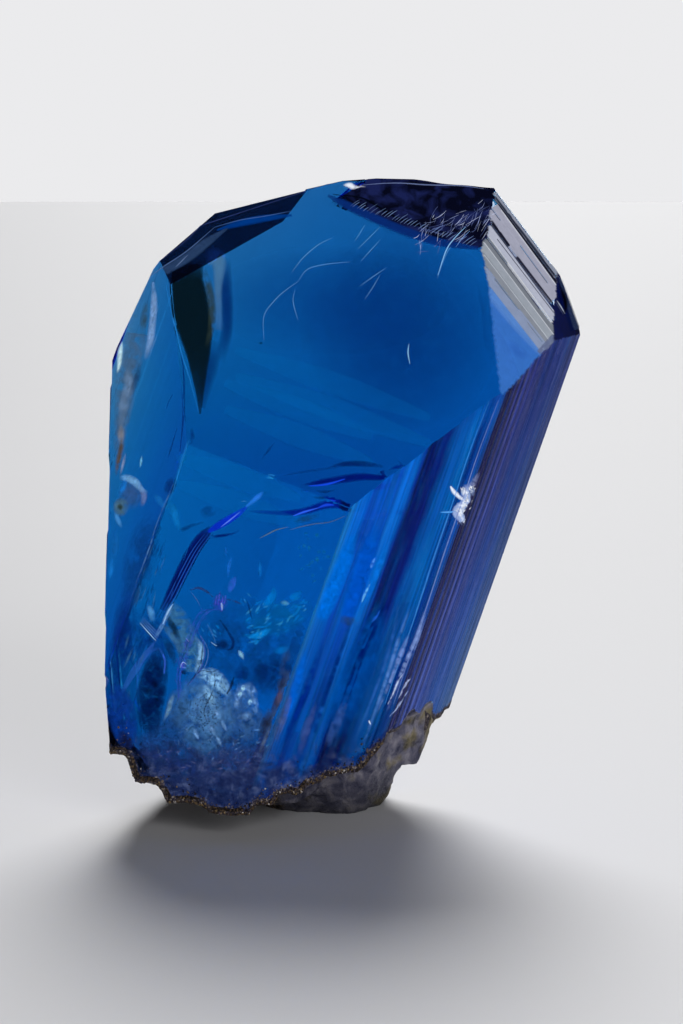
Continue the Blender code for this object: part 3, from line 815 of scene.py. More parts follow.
def cyan_flecks():
    """Bright blue flakes round the cloud and above it."""
    group = Inside("cyan_flecks")
    bright = [(0, 125, 215), (10, 140, 225), (70, 165, 225)]
    group.draw([
        ((30, 110, 210), 1.5, 0, [(226, 546, 1), (226, 551, 4, 0.6), (226, 556, 1)]),
        ((35, 120, 225), 1.5, 0, [(232, 556, 2), (229, 566, 5, 0.85), (228, 578, 2)]),
        ((60, 105, 225), 1.4, 0.8, [(236, 576, 2), (232, 584, 9, 0.85), (229, 593, 3)]),
        ((20, 120, 205), 1.6, 0, [(260, 560, 1), (260, 569, 4, 0.75), (260, 579, 1)]),
        (bright[0], 1.5, 0, [(274, 586, 2), (273, 595, 9, 0.85), (267, 604, 9, 0.7), (262, 609, 2)]),
        (bright[0], 1.6, 0, [(288, 599, 3), (295, 596, 8, 0.7), (303, 591, 2)]),
        ((95, 165, 210), 1.4, 0, [(280, 602, 2), (285, 603, 6, 0.8), (290, 604, 2)]),
        (bright[1], 1.4, 0, [(246, 637, 2), (256, 636, 8, 0.95), (266, 632, 7, 0.8), (272, 628, 2)]),
        (bright[0], 1.6, 0.4, [(273, 652, 3), (282, 650, 9, 0.6), (291, 647, 2)]),
        ((150, 205, 240), 1.2, 0.4, [(238, 650, 1), (241, 654, 6, 1), (244, 660, 1)]),
        ((0, 100, 165), 2, 0.5, [(238, 612, 12), (262, 620, 34, 0.45), (290, 614, 34, 0.45), (312, 604, 12)]),
        (bright, (1.0, 2.2), 0.5, [(262, 618, 16), (282, 620, 18), (300, 610, 12), (256, 634, 10)], 90, 12,
         3.2, 28, 35),
        ([(10, 115, 165), (25, 125, 175)], (1.0, 2.0), 0.4, [(308, 545, 10), (306, 556, 12), (308, 575, 10),
         (318, 560, 12), (312, 530, 10)], 24, 7, 5.0, 80, 60),
        (bright, (1.0, 2.0), 0.5, [(250, 600, 10), (212, 630, 12)], 20, 9, 2.4, -55, 20),
    ])
    group.piece(ink_material("fleck_blue", mottle=0.3, wisps=0.4, wisp_size=0.5))


def window_scratches():
    """Fine pale hairs on the big slanted window, its pinpoint, two soft pools that darken it towards the
    middle and right, and faint bands behind it that are painted reflections.
    """
    group = Inside("window_scratches")
    pale = (120, 175, 225)
    hairs = [
        [(332, 238), (318, 245), (303, 258), (292, 272)],
        [(350, 262), (328, 264), (308, 269), (299, 280)],
        [(299, 281), (286, 290), (275, 300), (264, 316), (264, 340)],
        [(295, 290), (293, 300), (295, 310), (298, 320)],
        [(365, 225), (360, 233), (355, 241)],
        [(380, 227), (370, 237), (358, 249)],
        [(380, 240), (371, 250), (361, 261)],
        [(386, 268), (374, 276), (360, 286)],
        [(380, 275), (373, 287), (365, 299)],
        [(460, 235), (452, 245), (445, 257), (437, 279)],
    ]
    for stops in hairs:
        group.hair(pale, 0.05, 0, stops)
    group.draw([
        ((150, 200, 235), 0.05, 0, [(409, 344), (408, 353), (410, 364)], 2, 0.7),
        ((0, 5, 20), 0.1, 0, [(259, 343, 1, 0.5), (261, 343, 2, 1), (263, 343, 1, 0.5)], 12),
        ((0, 48, 122), 2.5, 0.1, (400, 330, 200, 210), 0.5, 0, 1.6),
        ((0, 52, 130), 3.0, 0.1, (330, 300, 240, 110), 0.3, 0, 1.6),
    ])
    # Painted reflections: faint bands inside the window.
    bands = [((241, 337), (430, 405)), ((230, 370), (372, 424)), ((182, 444), (300, 486))]
    for (x0, y0), (x1, y1) in bands:
        for shift in (0, 26):
            group.hair((0, 112, 190), 1, 0, [(x0 - 5, y0 + 13 + shift),
                       ((x0 + x1) / 2, (y0 + y1) / 2 + 13 + shift), (x1, y1 + 13 + shift)], 25, 0.10)
    group.piece(ink_material("scratch_white_and_reflections", mottle=0.1))


HACKLES = 36
CURVED_HAIRS = 90


def break_marks():
    """The hackles and curved hairs in the top break's dark hollow, painted as pale glints, its blue strip,
    and its bright rim, a painted highlight.
    """
    group = Inside("break_marks")
    rng = random.Random(12)
    group.draw([
        ((8, 42, 112), 0, 0, [(328, 196, 3, 0.3), (345, 205, 9, 0.8), (372, 218, 10, 0.8),
         (405, 232, 10, 0.8), (440, 243, 9, 0.8), (478, 249, 4, 0.5)], 5),
        ((2, 6, 18), 0, 0, [(333, 195), (362, 199), (385, 212), (400, 220), (430, 230), (457, 236)], 3.0,
         0.9),
    ])
    # Painted glints: pale hackles and curved hairs on the break's ripples.
    for i in range(HACKLES):
        x = 350 + 3.4 * i + rng.uniform(-1, 1)
        y = 207 + 1.15 * i + rng.uniform(-1, 1)
        reach = rng.uniform(5, 12)
        group.hair((120, 148, 200), 0, 0, [(x, y), (x + reach / 2, y - reach * 0.4),
                   (x + reach, y - reach * 0.7)], 0.9, rng.uniform(0.2, 0.7))
    for _ in range(CURVED_HAIRS):
        along = rng.random()
        x = 415 + 76 * along + rng.gauss(0, 3)
        y = 236 - 18 * along + rng.gauss(0, 9)
        length, bow = rng.uniform(4, 18), rng.uniform(-0.7, 0.9)
        angle = math.radians(rng.gauss(48, 26))
        dx, dy = length * math.cos(angle), length * math.sin(angle)
        group.hair(rng.choice([(205, 215, 245), (150, 165, 215), (96, 112, 170)]), 0, 0.6,
                   [(x - dx / 2, y + dy / 2), (x + bow, y + bow), (x + dx / 2, y - dy / 2)], 0.7,
                   rng.uniform(0.2, 0.8))
    # Painted highlights: pale hairs near the break, the bright rim along the top and a white glint.
    group.draw([
        ((150, 205, 250), 0, 0, [(466, 228), (454, 240), (446, 252), (438, 276)], 1.4, 0.8),
        ((120, 165, 235), 0, 0, [(470, 232), (462, 240), (456, 248)], 1, 0.7),
        ((110, 125, 170), 0, 0, [(362, 186), (395, 184), (430, 186), (462, 187), (484, 190)], 1.6, 0.7),
        ((235, 240, 250), 0, 0.7, [(343, 186, 2), (350, 186, 6, 1), (358, 187, 3, 0.5), (366, 188, 1)]),
    ])
    group.piece(ink_material("hackle_glints", mottle=0.1))


def hollow_painted_shade():
    """A nearly black, slightly glossy skin over the top break, painted shade for the darkness that the break
    shows.
    """
    g = Graph("hollow_dark")
    smoke = g.noise(g.place(), 0.7 / MM, 5.0, 0.6)
    tone = g.ramp(smoke, [(0.42, paint(6, 8, 26)), (0.62, paint(24, 32, 78))])
    g.glow(tone, lit=0.3, cover=0.96, strength=0.9, rough=0.6)
    add_piece("hollow_painted_shade", shell_of({"break"}, 0.020, 0.012), g.owner)


def edge_lines():
    """Light caught along the stone's edges, round the bevel, the left walls and the ridge."""
    group = Inside("edge_lines")
    group.draw([
        ((0, 56, 134), 0, 0, [(217, 231, 2, 0.4), (240, 224, 8, 0.9), (266, 219, 8, 0.9), (292, 216, 3, 0.5)],
         6),
        ((70, 105, 165), 0, 0, [(215, 228), (240, 221), (265, 217), (291, 212)], 1.3, 0.8),
    ])
    group.veil((42, 66, 104), 0, 0.3, [(150, 281, 9, 0.9), (168, 270, 10, 0.9), (188, 258, 11, 0.9),
               (206, 244, 10, 0.9), (228, 229, 2, 0.5)], 5, 0.3, only="bevel")
    group.draw([
        ((84, 112, 160), 0, 0, [(151, 277), (163, 268), (187, 252), (215, 228)], 1.4, 0.8),
        ((120, 145, 190), 0, 0, [(176, 268), (182, 262), (188, 256)], 1.3, 0.8),
        ((60, 72, 130), 0, 0, [(160, 262), (188, 240), (215, 213), (245, 201), (290, 191), (334, 184)], 1.4,
         0.6),
        ((36, 130, 210), 0, 0.5, [(167, 285), (172, 310), (181, 351), (190, 380), (199, 414)], 1.3, 0.8),
        ((0, 40, 120), 0.3, 0.4, [(181, 352), (184, 380), (183, 420), (180, 452)], 2.4, 0.8),
        ((0, 40, 110), 0.3, 0.5, [(176, 480), (160, 520), (152, 545), (139, 580), (118, 640)], 1.6, 0.8),
        ((96, 140, 180), 0, 0.8, [(174, 484), (158, 524), (150, 549), (137, 584)]),
        ((40, 140, 215), 0.3, 0, [(189, 440), (178, 475), (170, 500)], 1.3, 0.7),
    ])
    for shift, tone, cover in ((0, (120, 140, 200), 0.7), (-9, (60, 140, 225), 0.6)):
        group.hair(tone, 0, 0.3, [(498 + shift, 400), (478 + shift, 452), (462 + shift, 500),
                   (444 + shift, 552), (425 + shift, 610), (405 + shift, 668), (393 + shift, 704)], 1.7,
                   cover)
    group.piece(ink_material("edge_light", mottle=0.2))


BURST_SHARDS = 170


def white_burst():
    """A spray of white shards where the two right walls meet."""
    group = Inside("white_burst")
    white, pale = (232, 240, 255), (150, 172, 220)
    group.draw([
        ((120, 130, 175), 0, 0.7, [(479, 472, 3), (474, 480, 6, 0.7), (468, 492, 7, 0.6)], 2, 0.3),
        (pale, 0, 0.7, [(466, 484, 4), (465, 492, 10, 1), (466, 499, 8, 1), (462, 505, 9, 1),
         (457, 511, 12, 1), (460, 518, 9, 1), (463, 526, 3)], 6, 0.28),
        (white, 0, 0.8, [(462, 487, 3, 0.5), (463, 491, 7, 1), (467, 496, 6, 1), (464, 503, 6, 1),
         (459, 509, 7, 1), (461, 516, 5, 1), (463, 522, 2)], 6, 0.35),
        (pale, 0, 0.6, [(468, 482, 2), (471, 489, 6, 0.9), (472, 496, 3)], 2, 0.4),
        (white, 0, 0.4, [(450, 486, 2, 0.7), (453, 491, 5, 1), (458, 496, 5, 1), (463, 500, 3, 0.8)], 5, 0.4),
        ((90, 165, 240), 0, 0, [(440, 512), (448, 512), (455, 511)], 2.4, 0.9),
    ])
    spots = [(465, 491, 5), (466, 499, 5), (461, 507, 6), (458, 512, 6), (462, 519, 4), (471, 488, 4)]
    rng = group.rng
    for _ in range(BURST_SHARDS):
        x, y, radius = rng.choice(spots)
        found = place_at(x + rng.gauss(0, radius / 2.4), y + rng.gauss(0, radius / 2.4), -0.05)
        if found:
            axis = Vector((rng.gauss(0, 1), rng.gauss(0, 0.5), rng.gauss(0.4, 1)))
            shade = rng.uniform(0.45, 1.0)
            colour = (shade * 0.92, shade * 0.95, shade, 0.95)
            group.shard(found[0], axis, rng.uniform(0.10, 0.34), rng.uniform(0.03, 0.08), colour)
    group.piece(ink_material("burst_white", mottle=0.25))


# Painted reflection on the right shoulder: bands from one sight to another, with a width at each end, a
# colour and a cover.
SHOULDER_REFLECTION_BANDS = [
    (492, 208, 560, 301, 22, 20, (178, 180, 200), 1.0),
    (478, 217, 560, 327, 9, 8, (198, 203, 222), 1.0),
    (476, 229, 560, 341, 10, 9, (132, 138, 149), 1.0),
    (476, 240, 560, 352, 10, 10, (168, 176, 188), 1.0),
    (476, 251, 558, 360, 9, 9, (148, 154, 166), 1.0),
    (480, 268, 552, 360, 10, 11, (150, 165, 198), 1.0),
    (488, 188, 562, 283, 5, 5, (150, 158, 178), 1.0),
    (494, 198, 560, 285, 3, 5, (34, 40, 60), 0.9),
    (496, 203, 560, 289, 2, 4, (20, 24, 42), 1.0),
    (500, 211, 558, 290, 1.2, 1.2, (225, 228, 238), 0.9),
    (486, 217, 508, 247, 5, 3.4, (24, 26, 46), 1.0),
    (507, 246, 558, 312, 3, 1.4, (28, 30, 52), 1.0),
    (496, 240, 556, 318, 1.2, 1.2, (80, 84, 104), 0.8),
    (479, 226, 558, 332, 1.3, 1.3, (222, 225, 234), 0.9),
    (478, 237, 558, 343, 1.2, 1.2, (216, 220, 230), 0.8),
    (477, 248, 556, 352, 1.2, 1.2, (205, 212, 222), 0.7),
]


def shoulder_bands():
    """The silver, grey and dark bands along the right shoulder, which are a painted reflection, the blue
    below and the mottled side facet.
    """
    group = Inside("shoulder_bands")
    group.draw([
        ((62, 124, 214), 0, 0, [(468, 290, 34, 0.9), (500, 328, 40, 0.9), (532, 372, 40, 0.9),
         (548, 396, 34, 0.9)], 8),
        ((62, 124, 214), 0, 0, [(466, 322, 40, 0.9), (486, 352, 44, 0.9), (506, 396, 40, 0.9)], 8),
        ((100, 152, 226), 0, 0, [(482, 284, 12, 0.7), (515, 323, 14, 0.8), (552, 364, 10, 0.6)], 3),
    ], only="shoulder")
    group.veil((46, 102, 200), 0, 0.4, [(505, 340, 6), (518, 352, 14, 0.4), (530, 358, 6)])
    for x0, y0, x1, y1, start, end, colour, cover in SHOULDER_REFLECTION_BANDS:
        group.veil(colour, 0, 0, [(x0, y0, start, cover), (x1, y1, end, cover)], 10, 0.12, 1.2,
                   only="shoulder")
    group.veil((112, 124, 160), 0, 0, [(538, 354, 7, 0.8), (556, 333, 6, 0.8)], 5, only="shoulder")
    group.draw([
        ((42, 56, 88), 0, 0.8, [(559, 280, 5, 0.6), (566, 298, 10, 0.85), (571, 314, 12, 0.85),
         (575, 330, 6, 0.6)], 5, 0.25),
        ((4, 5, 14), 0, 0, [(557, 284, 2), (562, 296, 6, 1), (564, 306, 5, 1), (562, 316, 2)], 6),
        ((190, 202, 220), 0, 0, [(556, 301), (560, 307), (564, 314)], 1.6, 0.9),
        ((112, 128, 156), 0, 0.9, [(566, 290, 3), (571, 300, 5, 0.8), (572, 310, 3)], 2, 0.4),
        ((100, 116, 150), 0, 0.6, [(557, 276), (566, 292), (574, 312), (578, 330)], 1.3, 0.7),
    ])
    group.piece(ink_material("shoulder_silver_reflection", glow=0.60, mottle=0.08, crisp=0.06))


SPLIT_ROUNDS = 6
RIM_REACH = 0.35
LEAST_HEIGHT = 0.004


def shell_of(kept, lift, thickness, shape=None, longest=None, top=None):
    """A closed skin over the stone's faces of the kept names, lifted off them. It can end at a top, its faces
    can be split down to a longest edge, and shape moves each point out by a height, all in MM."""
    skin = mesh.copy()
    skin.faces.ensure_lookup_table()
    others = [face for face, name in zip(skin.faces, names) if name not in kept]
    bmesh.ops.delete(skin, geom=others, context="FACES")
    if top:
        everything = [*skin.verts, *skin.edges, *skin.faces]
        bmesh.ops.bisect_plane(skin, geom=everything, plane_co=UP * top * MM, plane_no=UP, clear_outer=True)
    for _ in range(SPLIT_ROUNDS if longest else 0):
        long = [edge for edge in skin.edges if edge.calc_length() > longest * MM]
        if not long:
            break
        bmesh.ops.subdivide_edges(skin, edges=long, cuts=1)
        bmesh.ops.triangulate(skin, faces=skin.faces)
    corners_of = {}
    for face in skin.faces:
        corners_of.setdefault(frozenset(face.verts), []).append(face)
    folded = [face for same in corners_of.values() if len(same) > 1 for face in same]
    bmesh.ops.delete(skin, geom=folded, context="FACES")
    skin.normal_update()
    edge_points = [vert.co.copy() for vert in skin.verts if vert.is_boundary]
    near = KDTree(len(edge_points))
    for i, point in enumerate(edge_points):
        near.insert(point, i)
    near.balance()
    made = bmesh.new()
    rim = made.verts.layers.float.new("rim")
    fronts, backs = {}, {}
    for vert in skin.verts:
        away = near.find(vert.co)[2] / MM
        outward = lift + (shape(vert.co) if shape else 0)
        for store, height in ((fronts, outward), (backs, lift - thickness)):
            place = vert.co + vert.normal * height * MM
            store[vert] = made.verts.new((place.x, place.y, max(place.z, LEAST_HEIGHT * MM)))
            store[vert][rim] = math.exp(-away / RIM_REACH)
    for face in skin.faces:
        made.faces.new([fronts[vert] for vert in face.verts])
        made.faces.new([backs[vert] for vert in reversed(face.verts)])
    for a, b in [edge.verts for edge in skin.edges if edge.is_boundary]:
        made.faces.new((fronts[a], fronts[b], backs[b], backs[a]))
    bmesh.ops.recalc_face_normals(made, faces=made.faces)
    skin.free()
    return made


def lumps(place):
    """The height of the base's rough grain, in MM."""
    coarse = noise.noise(place * 1.3 / MM)
    fine = noise.noise(place * 4.2 / MM)
    return 0.05 + 0.07 * coarse + 0.05 * fine


def base_skin():
    """The base's rough surface: lavender-grey matrix, stained yellow-brown, with a dark crust on the left and
    along its rim up to the stained lump. It darkens towards the floor as painted shade."""
    g = Graph("base_matrix")
    where = g.place()
    grain = g.noise(where, 1.1 / MM, 7.0, 0.6)
    speck = g.noise(where, 9 / MM, 3.0)
    pale = g.ramp(grain, [(0.30, paint(44, 46, 72)), (0.5, paint(98, 97, 116)), (0.70, paint(148, 144, 154))])
    crust = g.ramp(speck, [(0.38, paint(12, 10, 12)), (0.54, paint(40, 31, 28)), (0.66, paint(118, 96, 70))])
    across = g.along(where, RIGHTWARD, MM)
    stain = g.ramp(g.math("ADD", g.noise(where, 0.6 / MM, 3.0), g.spread(across, 1.0, 8.0, -0.12, 0.12)),
                   [(0.48, 0.0), (0.62, 0.9)])
    stained = g.mix(stain, pale, g.ramp(grain, [(0.35, paint(66, 60, 40)), (0.65, paint(134, 123, 88))]))
    # Painted shade: the matrix darkens towards the floor.
    shade = g.ramp(g.spread(g.along(where, UP, MM), 0.2, 4.2, 0.26, 1.1), [(0.0, 0.0), (1.0, 1.0)])
    rimmed = g.math("MULTIPLY", g.of_mesh("rim"), g.spread(across, 4.4, 3.0, 0.0, 0.8))
    dark = g.math("MAXIMUM", g.spread(across, -2.5, -6.0), rimmed)
    ragged = g.ramp(g.stirred(dark, grain, 0.9), [(0.45, 0.0), (0.65, 1.0)])
    relief = g.math("ADD", grain, g.math("MULTIPLY", speck, 0.4))
    g.fill(g.shader, {
        "Base Color": g.mix(ragged, g.times(stained, shade), crust),
        "Roughness": g.ramp(speck, [(0.35, 0.85), (0.7, 0.35)]),
        "Normal": g.bump(relief, 0.12 * MM),
    })
    add_piece("base_skin", shell_of({"base"}, 0.03, 0.4, lumps, 0.3), g.owner)


CRUST_TONES = [(78, 62, 48), (46, 38, 36), (24, 21, 28), (118, 98, 70), (60, 54, 62), (92, 84, 98),
               (142, 120, 84), (18, 16, 22), (70, 62, 58)]
CRUST_SPARKLE = (206, 200, 196)
SPARKLING = 0.05
CRUST_GRAINS = 6500
CRUST_SPREAD = 0.26
GRAIN_SIZES = (0.03, 0.085)


def crust_grains():
    """Small angular grains along the rim between the base and the walls, but not round the stained lump."""
    rng = random.Random(3)
    group = Inside("crust_grains")
    fronts = {"front_left", "front_right", "left"}
    rim = []
    for edge in mesh.edges:
        found = {names[face.index] for face in edge.link_faces}
        if "base" in found and found & fronts:
            out = sum((face.normal for face in edge.link_faces), Vector()).normalized()
            rim.append((edge.verts[0].co.copy(), edge.verts[1].co.copy(), out))
    lengths = [(b - a).length for a, b, _ in rim]
    ball = bmesh.new()
    bmesh.ops.create_icosphere(ball, subdivisions=1, radius=1)
    corners = [vert.co.copy() for vert in ball.verts]
    sides = [[vert.index for vert in face.verts] for face in ball.faces]
    ball.free()
    for a, b, out in rng.choices(rim, weights=lengths, k=CRUST_GRAINS):
        spread = abs(rng.gauss(0, CRUST_SPREAD))
        jitter = Vector([rng.gauss(0, 1) for _ in range(3)]) * spread * MM
        place = a.lerp(b, rng.random()) + out * 0.01 * MM + jitter
        on_stone, normal, _, _ = stone_tree.find_nearest(place)
        size = rng.uniform(*GRAIN_SIZES) * MM
        centre = on_stone + normal * size * 0.1
        centre.z = max(centre.z, size)
        tone = paint(*(CRUST_SPARKLE if rng.random() < SPARKLING else rng.choice(CRUST_TONES)))
        turn = Matrix.Rotation(rng.uniform(0, math.pi), 3, Vector([rng.gauss(0, 1) for _ in range(3)]))
        stretch = [rng.uniform(0.5, 1.5) for _ in range(3)]
        shift = place / MM
        grain = []
        for corner in corners:
            roughly = size * (1 + 0.6 * noise.noise(corner * 1.7 + shift))
            stretched = Vector([c * s * roughly for c, s in zip(corner, stretch)])
            grain.append(group.point(turn @ stretched + centre, tone))
        for side in sides:
            group.mesh.faces.new([grain[i] for i in side])
    g = Graph("crust_mineral")
    ink = g.of_mesh("ink", "Color")
    speckle = g.noise(g.place(), 14 / MM, 4.0)
    g.fill(g.shader, {
        "Base Color": g.times(ink, g.ramp(speckle, [(0.3, 0.5), (0.7, 1.2)])),
        "Roughness": g.ramp(speckle, [(0.35, 0.35), (0.6, 0.8)]),
        "Normal": g.bump(speckle, 0.03 * MM),
    })
    group.piece(g.owner)


MOST_COVER = 0.95


def streaked_wall(name, azimuth, bands, glow, fine_low, foot, middle, head):
    """A thin striated skin on one wall, which glows as painted light. Each band says where it starts across
    the wall, its colour and its cover. Foot, middle and head are what its colours are multiplied by from the
    wall's lower end upwards."""
    across = TURN @ Vector((math.cos(math.radians(azimuth)), math.sin(math.radians(azimuth)), 0))
    wall = [face for face, found in zip(mesh.faces, names) if found == name]
    reach = [vert.co.dot(across) for face in wall for vert in face.verts]
    lowest, widest = min(reach), max(reach) - min(reach)
    g = Graph(name + "_striae")
    part = g.math("SUBTRACT", g.along(g.place(), across, widest), lowest / widest)
    part = g.stirred(part, g.streaks(across, 2.0 * MM, 7 * MM, 2.0), 0.05)
    colours = g.ramp(part, [(start, paint(*colour)) for start, colour, _ in bands])
    covers = g.ramp(part, [(start, cover) for start, _, cover in bands])
    fine = g.streaks(across, 0.11 * MM, 9 * MM, 5.0)
    patches = g.streaks(across, 0.6 * MM, 3.0 * MM, 4.0)
    climb = g.spread(g.along(g.place(), LENGTHWISE, MM), 4.0, 32.0)
    shading = g.ramp(climb, [(0.0, (*foot, 1)), (0.4, (*middle, 1)), (1.0, (*head, 1))])
    tone = g.times(g.times(colours, shading), g.ramp(fine, [(0.38, fine_low), (0.60, 1.15)]))
    cover = g.math("MULTIPLY", covers, g.ramp(patches, [(0.34, 0.7 * MOST_COVER), (0.60, MOST_COVER)]))
    g.glow(tone, lit=0.25, cover=cover, strength=glow, rough=0.45, gloss=0.15)
    g.fill(g.shader, {"Normal": g.bump(fine, 0.02 * MM)})
    add_piece(name + "_striae", shell_of({name}, 0.016, 0.012), g.owner)


# Partly the stone's own colour zoning and partly painted light: bright and navy bands that stand in for what
# the front right wall's striae bend and reflect.
FRONT_RIGHT_BANDS = [
    (0.00, (16, 100, 165), 0.35),
    (0.03, (24, 124, 212), 0.75),
    (0.06, (0, 110, 220), 0.80),
    (0.13, (0, 102, 214), 0.80),
    (0.16, (0, 62, 176), 0.70),
    (0.24, (0, 78, 194), 0.65),
    (0.34, (0, 58, 172), 0.65),
    (0.37, (6, 108, 218), 0.72),
    (0.43, (0, 92, 200), 0.65),
    (0.47, (0, 34, 140), 0.82),
    (0.50, (0, 6, 84), 0.92),
    (0.63, (0, 18, 112), 0.90),
    (0.70, (0, 66, 156), 0.75),
    (0.83, (0, 84, 176), 0.65),
    (0.90, (0, 40, 132), 0.80),
    (0.96, (16, 70, 160), 0.80),
]
# Painted sheen: the lavender and violet of the right wall's bands.
RIGHT_BANDS = [
    (0.00, (84, 96, 150), 0.85),
    (0.04, (28, 28, 62), 0.90),
    (0.10, (34, 34, 92), 0.90),
    (0.14, (12, 16, 60), 0.92),
    (0.17, (44, 56, 134), 0.90),
    (0.20, (12, 16, 64), 0.92),
    (0.25, (58, 72, 160), 0.90),
    (0.28, (12, 20, 78), 0.92),
    (0.33, (70, 86, 182), 0.90),
    (0.36, (14, 28, 96), 0.92),
    (0.41, (66, 82, 174), 0.90),
    (0.44, (34, 54, 134), 0.90),
    (0.60, (42, 68, 150), 0.90),
    (0.76, (46, 76, 156), 0.90),
    (0.90, (56, 80, 142), 0.90),
    (0.97, (70, 90, 148), 0.90),
]


WALL_LIGHTS = [
    ([(354, 532, 6), (346, 556, 17, 0.7), (334, 586, 19, 0.8), (324, 610, 17, 0.7), (319, 622, 10)],
     (0, 112, 224), 0.2),
    ([(378, 524, 8), (368, 553, 20, 0.7), (356, 588, 21, 0.7), (348, 612, 18, 0.6), (344, 620, 10)],
     (0, 86, 204), 0.2),
    ([(388, 540, 4), (380, 562, 8, 0.7), (370, 590, 7, 0.6), (364, 606, 4)], (8, 112, 216), 0.3),
    ([(382, 604, 14), (372, 632, 26, 0.6), (358, 668, 34, 0.65), (344, 704, 36, 0.6), (330, 738, 30)],
     (0, 76, 164), 0.3),
    ([(384, 600, 4), (372, 630, 9, 0.8), (358, 662, 9, 0.8), (346, 696, 9, 0.75), (334, 732, 5)],
     (0, 18, 100), 0.7),
    ([(350, 626, 4), (334, 670, 6, 0.7), (320, 712, 6, 0.6), (309, 752, 3)], (0, 28, 108), 0.8),
    ([(326, 634, 4), (308, 684, 8, 0.7), (296, 714, 8, 0.7), (280, 748, 4)], (0, 36, 132), 0.8),
    ([(306, 648, 5), (298, 676, 10, 0.7), (289, 706, 9, 0.7), (284, 722, 4)], (0, 98, 214), 0.4),
    ([(340, 616, 8), (348, 621, 11, 0.6), (356, 618, 6)], (34, 62, 104), 0.8),
    ([(410, 606, 3), (398, 640, 5, 0.5), (384, 684, 5, 0.6), (362, 746, 4)], (96, 140, 212), 0.8),
    ([(426, 606, 3), (416, 638, 6, 0.7), (402, 670, 5, 0.7), (386, 712, 3)], (140, 164, 222), 0.8),
    ([(408, 634, 3), (400, 654, 6, 0.8), (390, 680, 4, 0.6), (376, 714, 3)], (124, 150, 216), 0.9),
    ([(398, 604, 3), (388, 652, 5, 0.4), (370, 702, 4, 0.4), (350, 748, 3)], (50, 104, 190), 0.8),
    ([(348, 694, 5), (336, 722, 12, 0.5), (324, 752, 8)], (54, 92, 164), 0.9),
    ([(316, 700, 4), (306, 730, 9, 0.5), (298, 756, 6)], (64, 84, 148), 0.9),
    ([(292, 690, 4), (282, 718, 9, 0.45), (274, 742, 6)], (84, 92, 128), 0.9),
]
WALL_GLINTS = [
    ([(374, 558), (372, 563), (370, 568)], (90, 160, 255), 3.0),
    ([(369, 584), (364, 594), (361, 602)], (110, 190, 255), 3.4),
    ([(379, 610), (376, 616), (372, 622)], (30, 96, 210), 2.4),
    ([(402, 674), (397, 682), (393, 692), (387, 704)], (196, 208, 238), 2.2),
    ([(409, 678), (404, 684), (397, 698)], (176, 190, 232), 2.4),
    ([(406, 690), (398, 704), (389, 716)], (170, 190, 235), 1.6),
    ([(368, 720), (369, 722), (370, 724)], (225, 230, 240), 2.2),
]


def wall_lights():
    """The brighter panes, dark streaks and pale wisps on the front right wall's lower half."""
    group = Inside("wall_lights")
    for stops, colour, ragged in WALL_LIGHTS:
        group.veil(colour, 0, ragged, stops, 2.4, 0.16, only="front_right")
    for stops, colour, width in WALL_GLINTS:
        group.hair(colour, 0, 0.8, stops, width, 0.85)
    group.piece(ink_material("wall_light_blue", mottle=0.25, wisps=0.25, wisp_size=0.5, crisp=0.35))


def frosted_foot():
    """The lavender frost that clouds the front walls above the base, and the dark crust at their foot."""
    g = Graph("lavender_frost")
    where = g.place()
    upward = g.along(where, UP, MM)
    low = g.stirred(g.spread(upward, 7.5, 1.4), g.noise(where, 0.9 / MM, 8.0, 0.8), 1.3)
    cover = g.ramp(low, [(0.32, 0.0), (0.85, 0.78)])
    tone = g.ramp(g.noise(where, 1.7 / MM, 9.0, 0.5),
                  [(0.34, paint(18, 32, 78)), (0.52, paint(36, 52, 100)), (0.70, paint(84, 98, 140))])
    speck = g.noise(where, 6 / MM, 8.0, 0.4, 0.7)
    near_rim = g.math("MULTIPLY", g.of_mesh("rim"), g.spread(upward, 6.8, 6.0))
    crusted = g.ramp(g.stirred(near_rim, speck, 1.2), [(0.30, 0.0), (0.52, 1.0)])
    crust = g.ramp(speck, [(0.40, paint(14, 14, 26)), (0.54, paint(56, 50, 56)),
                           (0.64, paint(138, 128, 122))])
    covered = g.math("MAXIMUM", cover, g.math("MULTIPLY", crusted, 0.95))
    # The skin glows a little, as painted light.
    g.glow(g.mix(crusted, tone, crust), lit=0.5, cover=covered, strength=0.5, rough=0.6, gloss=0.2)
    g.fill(g.shader, {"Normal": g.bump(speck, 0.04 * MM)})
    kept = {"front_left", "front_right", "left", "right"}
    add_piece("frosted_foot", shell_of(kept, 0.040, 0.012, longest=0.45, top=8.5), g.owner)


def floor():
    made = bmesh.new()
    bmesh.ops.create_circle(made, cap_ends=True, segments=96, radius=FLOOR_RADIUS)
    g = Graph("pale_floor")
    g.fill(g.shader, {"Base Color": FLOOR_COLOUR, "Roughness": 0.6})
    object_of("floor", made, g.owner)


def softbox(name, azimuth, elevation, distance, width, height, watts, mirrored=True):
    """A rectangular light, in metres, which shows in gloss alone or else lights rough surfaces alone."""
    light = bpy.data.lights.new(name, "AREA")
    light.shape = "RECTANGLE"
    light.size, light.size_y = width, height
    light.energy = watts
    lamp = link(bpy.data.objects.new(name, light))
    lamp.visible_diffuse = not mirrored
    lamp.visible_glossy = mirrored
    lamp.visible_transmission = mirrored
    away = direction(azimuth, elevation)
    lamp.location = FRONT_CORNER + away * distance
    lamp.rotation_euler = away.to_track_quat("Z", "Y").to_euler()


def sun(name, azimuth, elevation, angle, watts):
    light = bpy.data.lights.new(name, "SUN")
    light.angle = math.radians(angle)
    light.energy = watts
    lamp = link(bpy.data.objects.new(name, light))
    lamp.rotation_euler = direction(azimuth, elevation).to_track_quat("Z", "Y").to_euler()


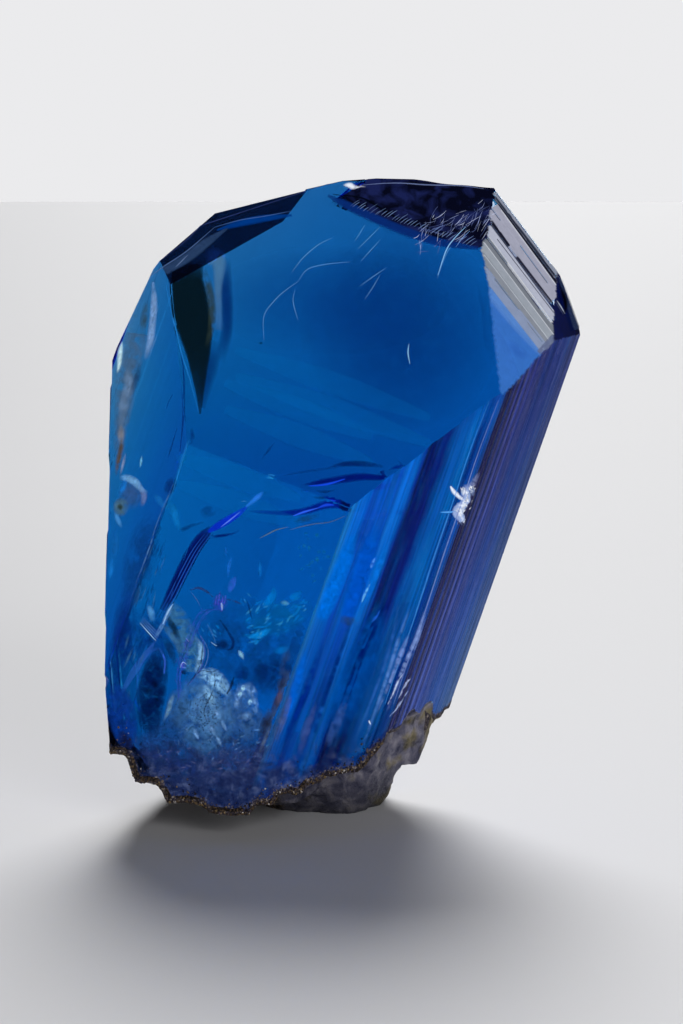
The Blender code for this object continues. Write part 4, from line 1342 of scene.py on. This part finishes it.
def sky():
    """A studio wall that is pale low down and dark above, and paler behind the stone than in front of it."""
    g = Graph("studio", bpy.data.worlds, "Background")
    bpy.context.scene.world = g.owner
    parts = g.add("ShaderNodeSeparateXYZ", {0: g.add("ShaderNodeTexCoord", {}).outputs["Generated"]}).outputs
    height = g.ramp(parts["Z"], [(0.06, (0.83, 0.83, 0.845, 1)), (0.15, (0.04, 0.04, 0.045, 1))], "EASE")
    depth = g.ramp(parts["Y"], [(0.0, 0.45), (0.9, 1.0)], "EASE")
    g.fill(g.shader, {"Color": g.times(height, depth)})


def camera():
    data = bpy.data.cameras.new("camera")
    data.lens = CAMERA_LENS
    data.sensor_width = SENSOR
    data.clip_start = 5 * MM
    made = link(bpy.data.objects.new("camera", data))
    made.location = EYE
    made.rotation_euler = (math.pi / 2 - CAMERA_DOWN, 0, 0)
    bpy.context.scene.camera = made


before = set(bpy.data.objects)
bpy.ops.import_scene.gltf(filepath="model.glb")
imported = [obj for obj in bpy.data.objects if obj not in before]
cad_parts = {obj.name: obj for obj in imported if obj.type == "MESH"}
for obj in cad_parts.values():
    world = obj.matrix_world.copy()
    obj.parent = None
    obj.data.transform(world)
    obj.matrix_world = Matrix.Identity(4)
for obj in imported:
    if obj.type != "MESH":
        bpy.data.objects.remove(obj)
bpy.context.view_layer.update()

mesh, names = stone_mesh()
mesh.faces.ensure_lookup_table()
stone_tree = BVHTree.FromBMesh(mesh)
stone = add_piece("clear_crystal", mesh.copy(), stone_material())
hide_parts(NODE)
dark_reflection()
left_wall_marks()
blue_feather()
lens_fractures()
violet_vein()
pale_cloud()
cyan_flecks()
window_scratches()
hollow_painted_shade()
break_marks()
edge_lines()
shoulder_bands()
white_burst()
base_skin()
crust_grains()
streaked_wall("front_right", 24, FRONT_RIGHT_BANDS, glow=0.85, fine_low=0.62, foot=(1.0, 0.40, 0.46),
              middle=(0.95, 0.88, 0.90), head=(1.0, 1.0, 1.0))
streaked_wall("right", 68, RIGHT_BANDS, glow=0.72, fine_low=0.55, foot=(1.4, 1.7, 1.25),
              middle=(1.01, 1.13, 1.0), head=(0.58, 0.50, 0.62))
wall_lights()
frosted_foot()
mesh.free()

floor()
sun("back_light", 176, 38, 28, 2.9)
softbox("shoulder_light", 113, 38, 0.5, 0.12, 0.16, 0.42)
softbox("front_fill", 25, 18, 0.5, 0.3, 0.3, 1.3, mirrored=False)
sky()
camera()
bpy.context.scene.view_settings.view_transform = "Standard"
bpy.context.scene.cycles.transmission_bounces = 16
bpy.context.scene.cycles.max_bounces = 24
bpy.context.scene.cycles.transparent_max_bounces = 64

bpy.context.view_layer.update()
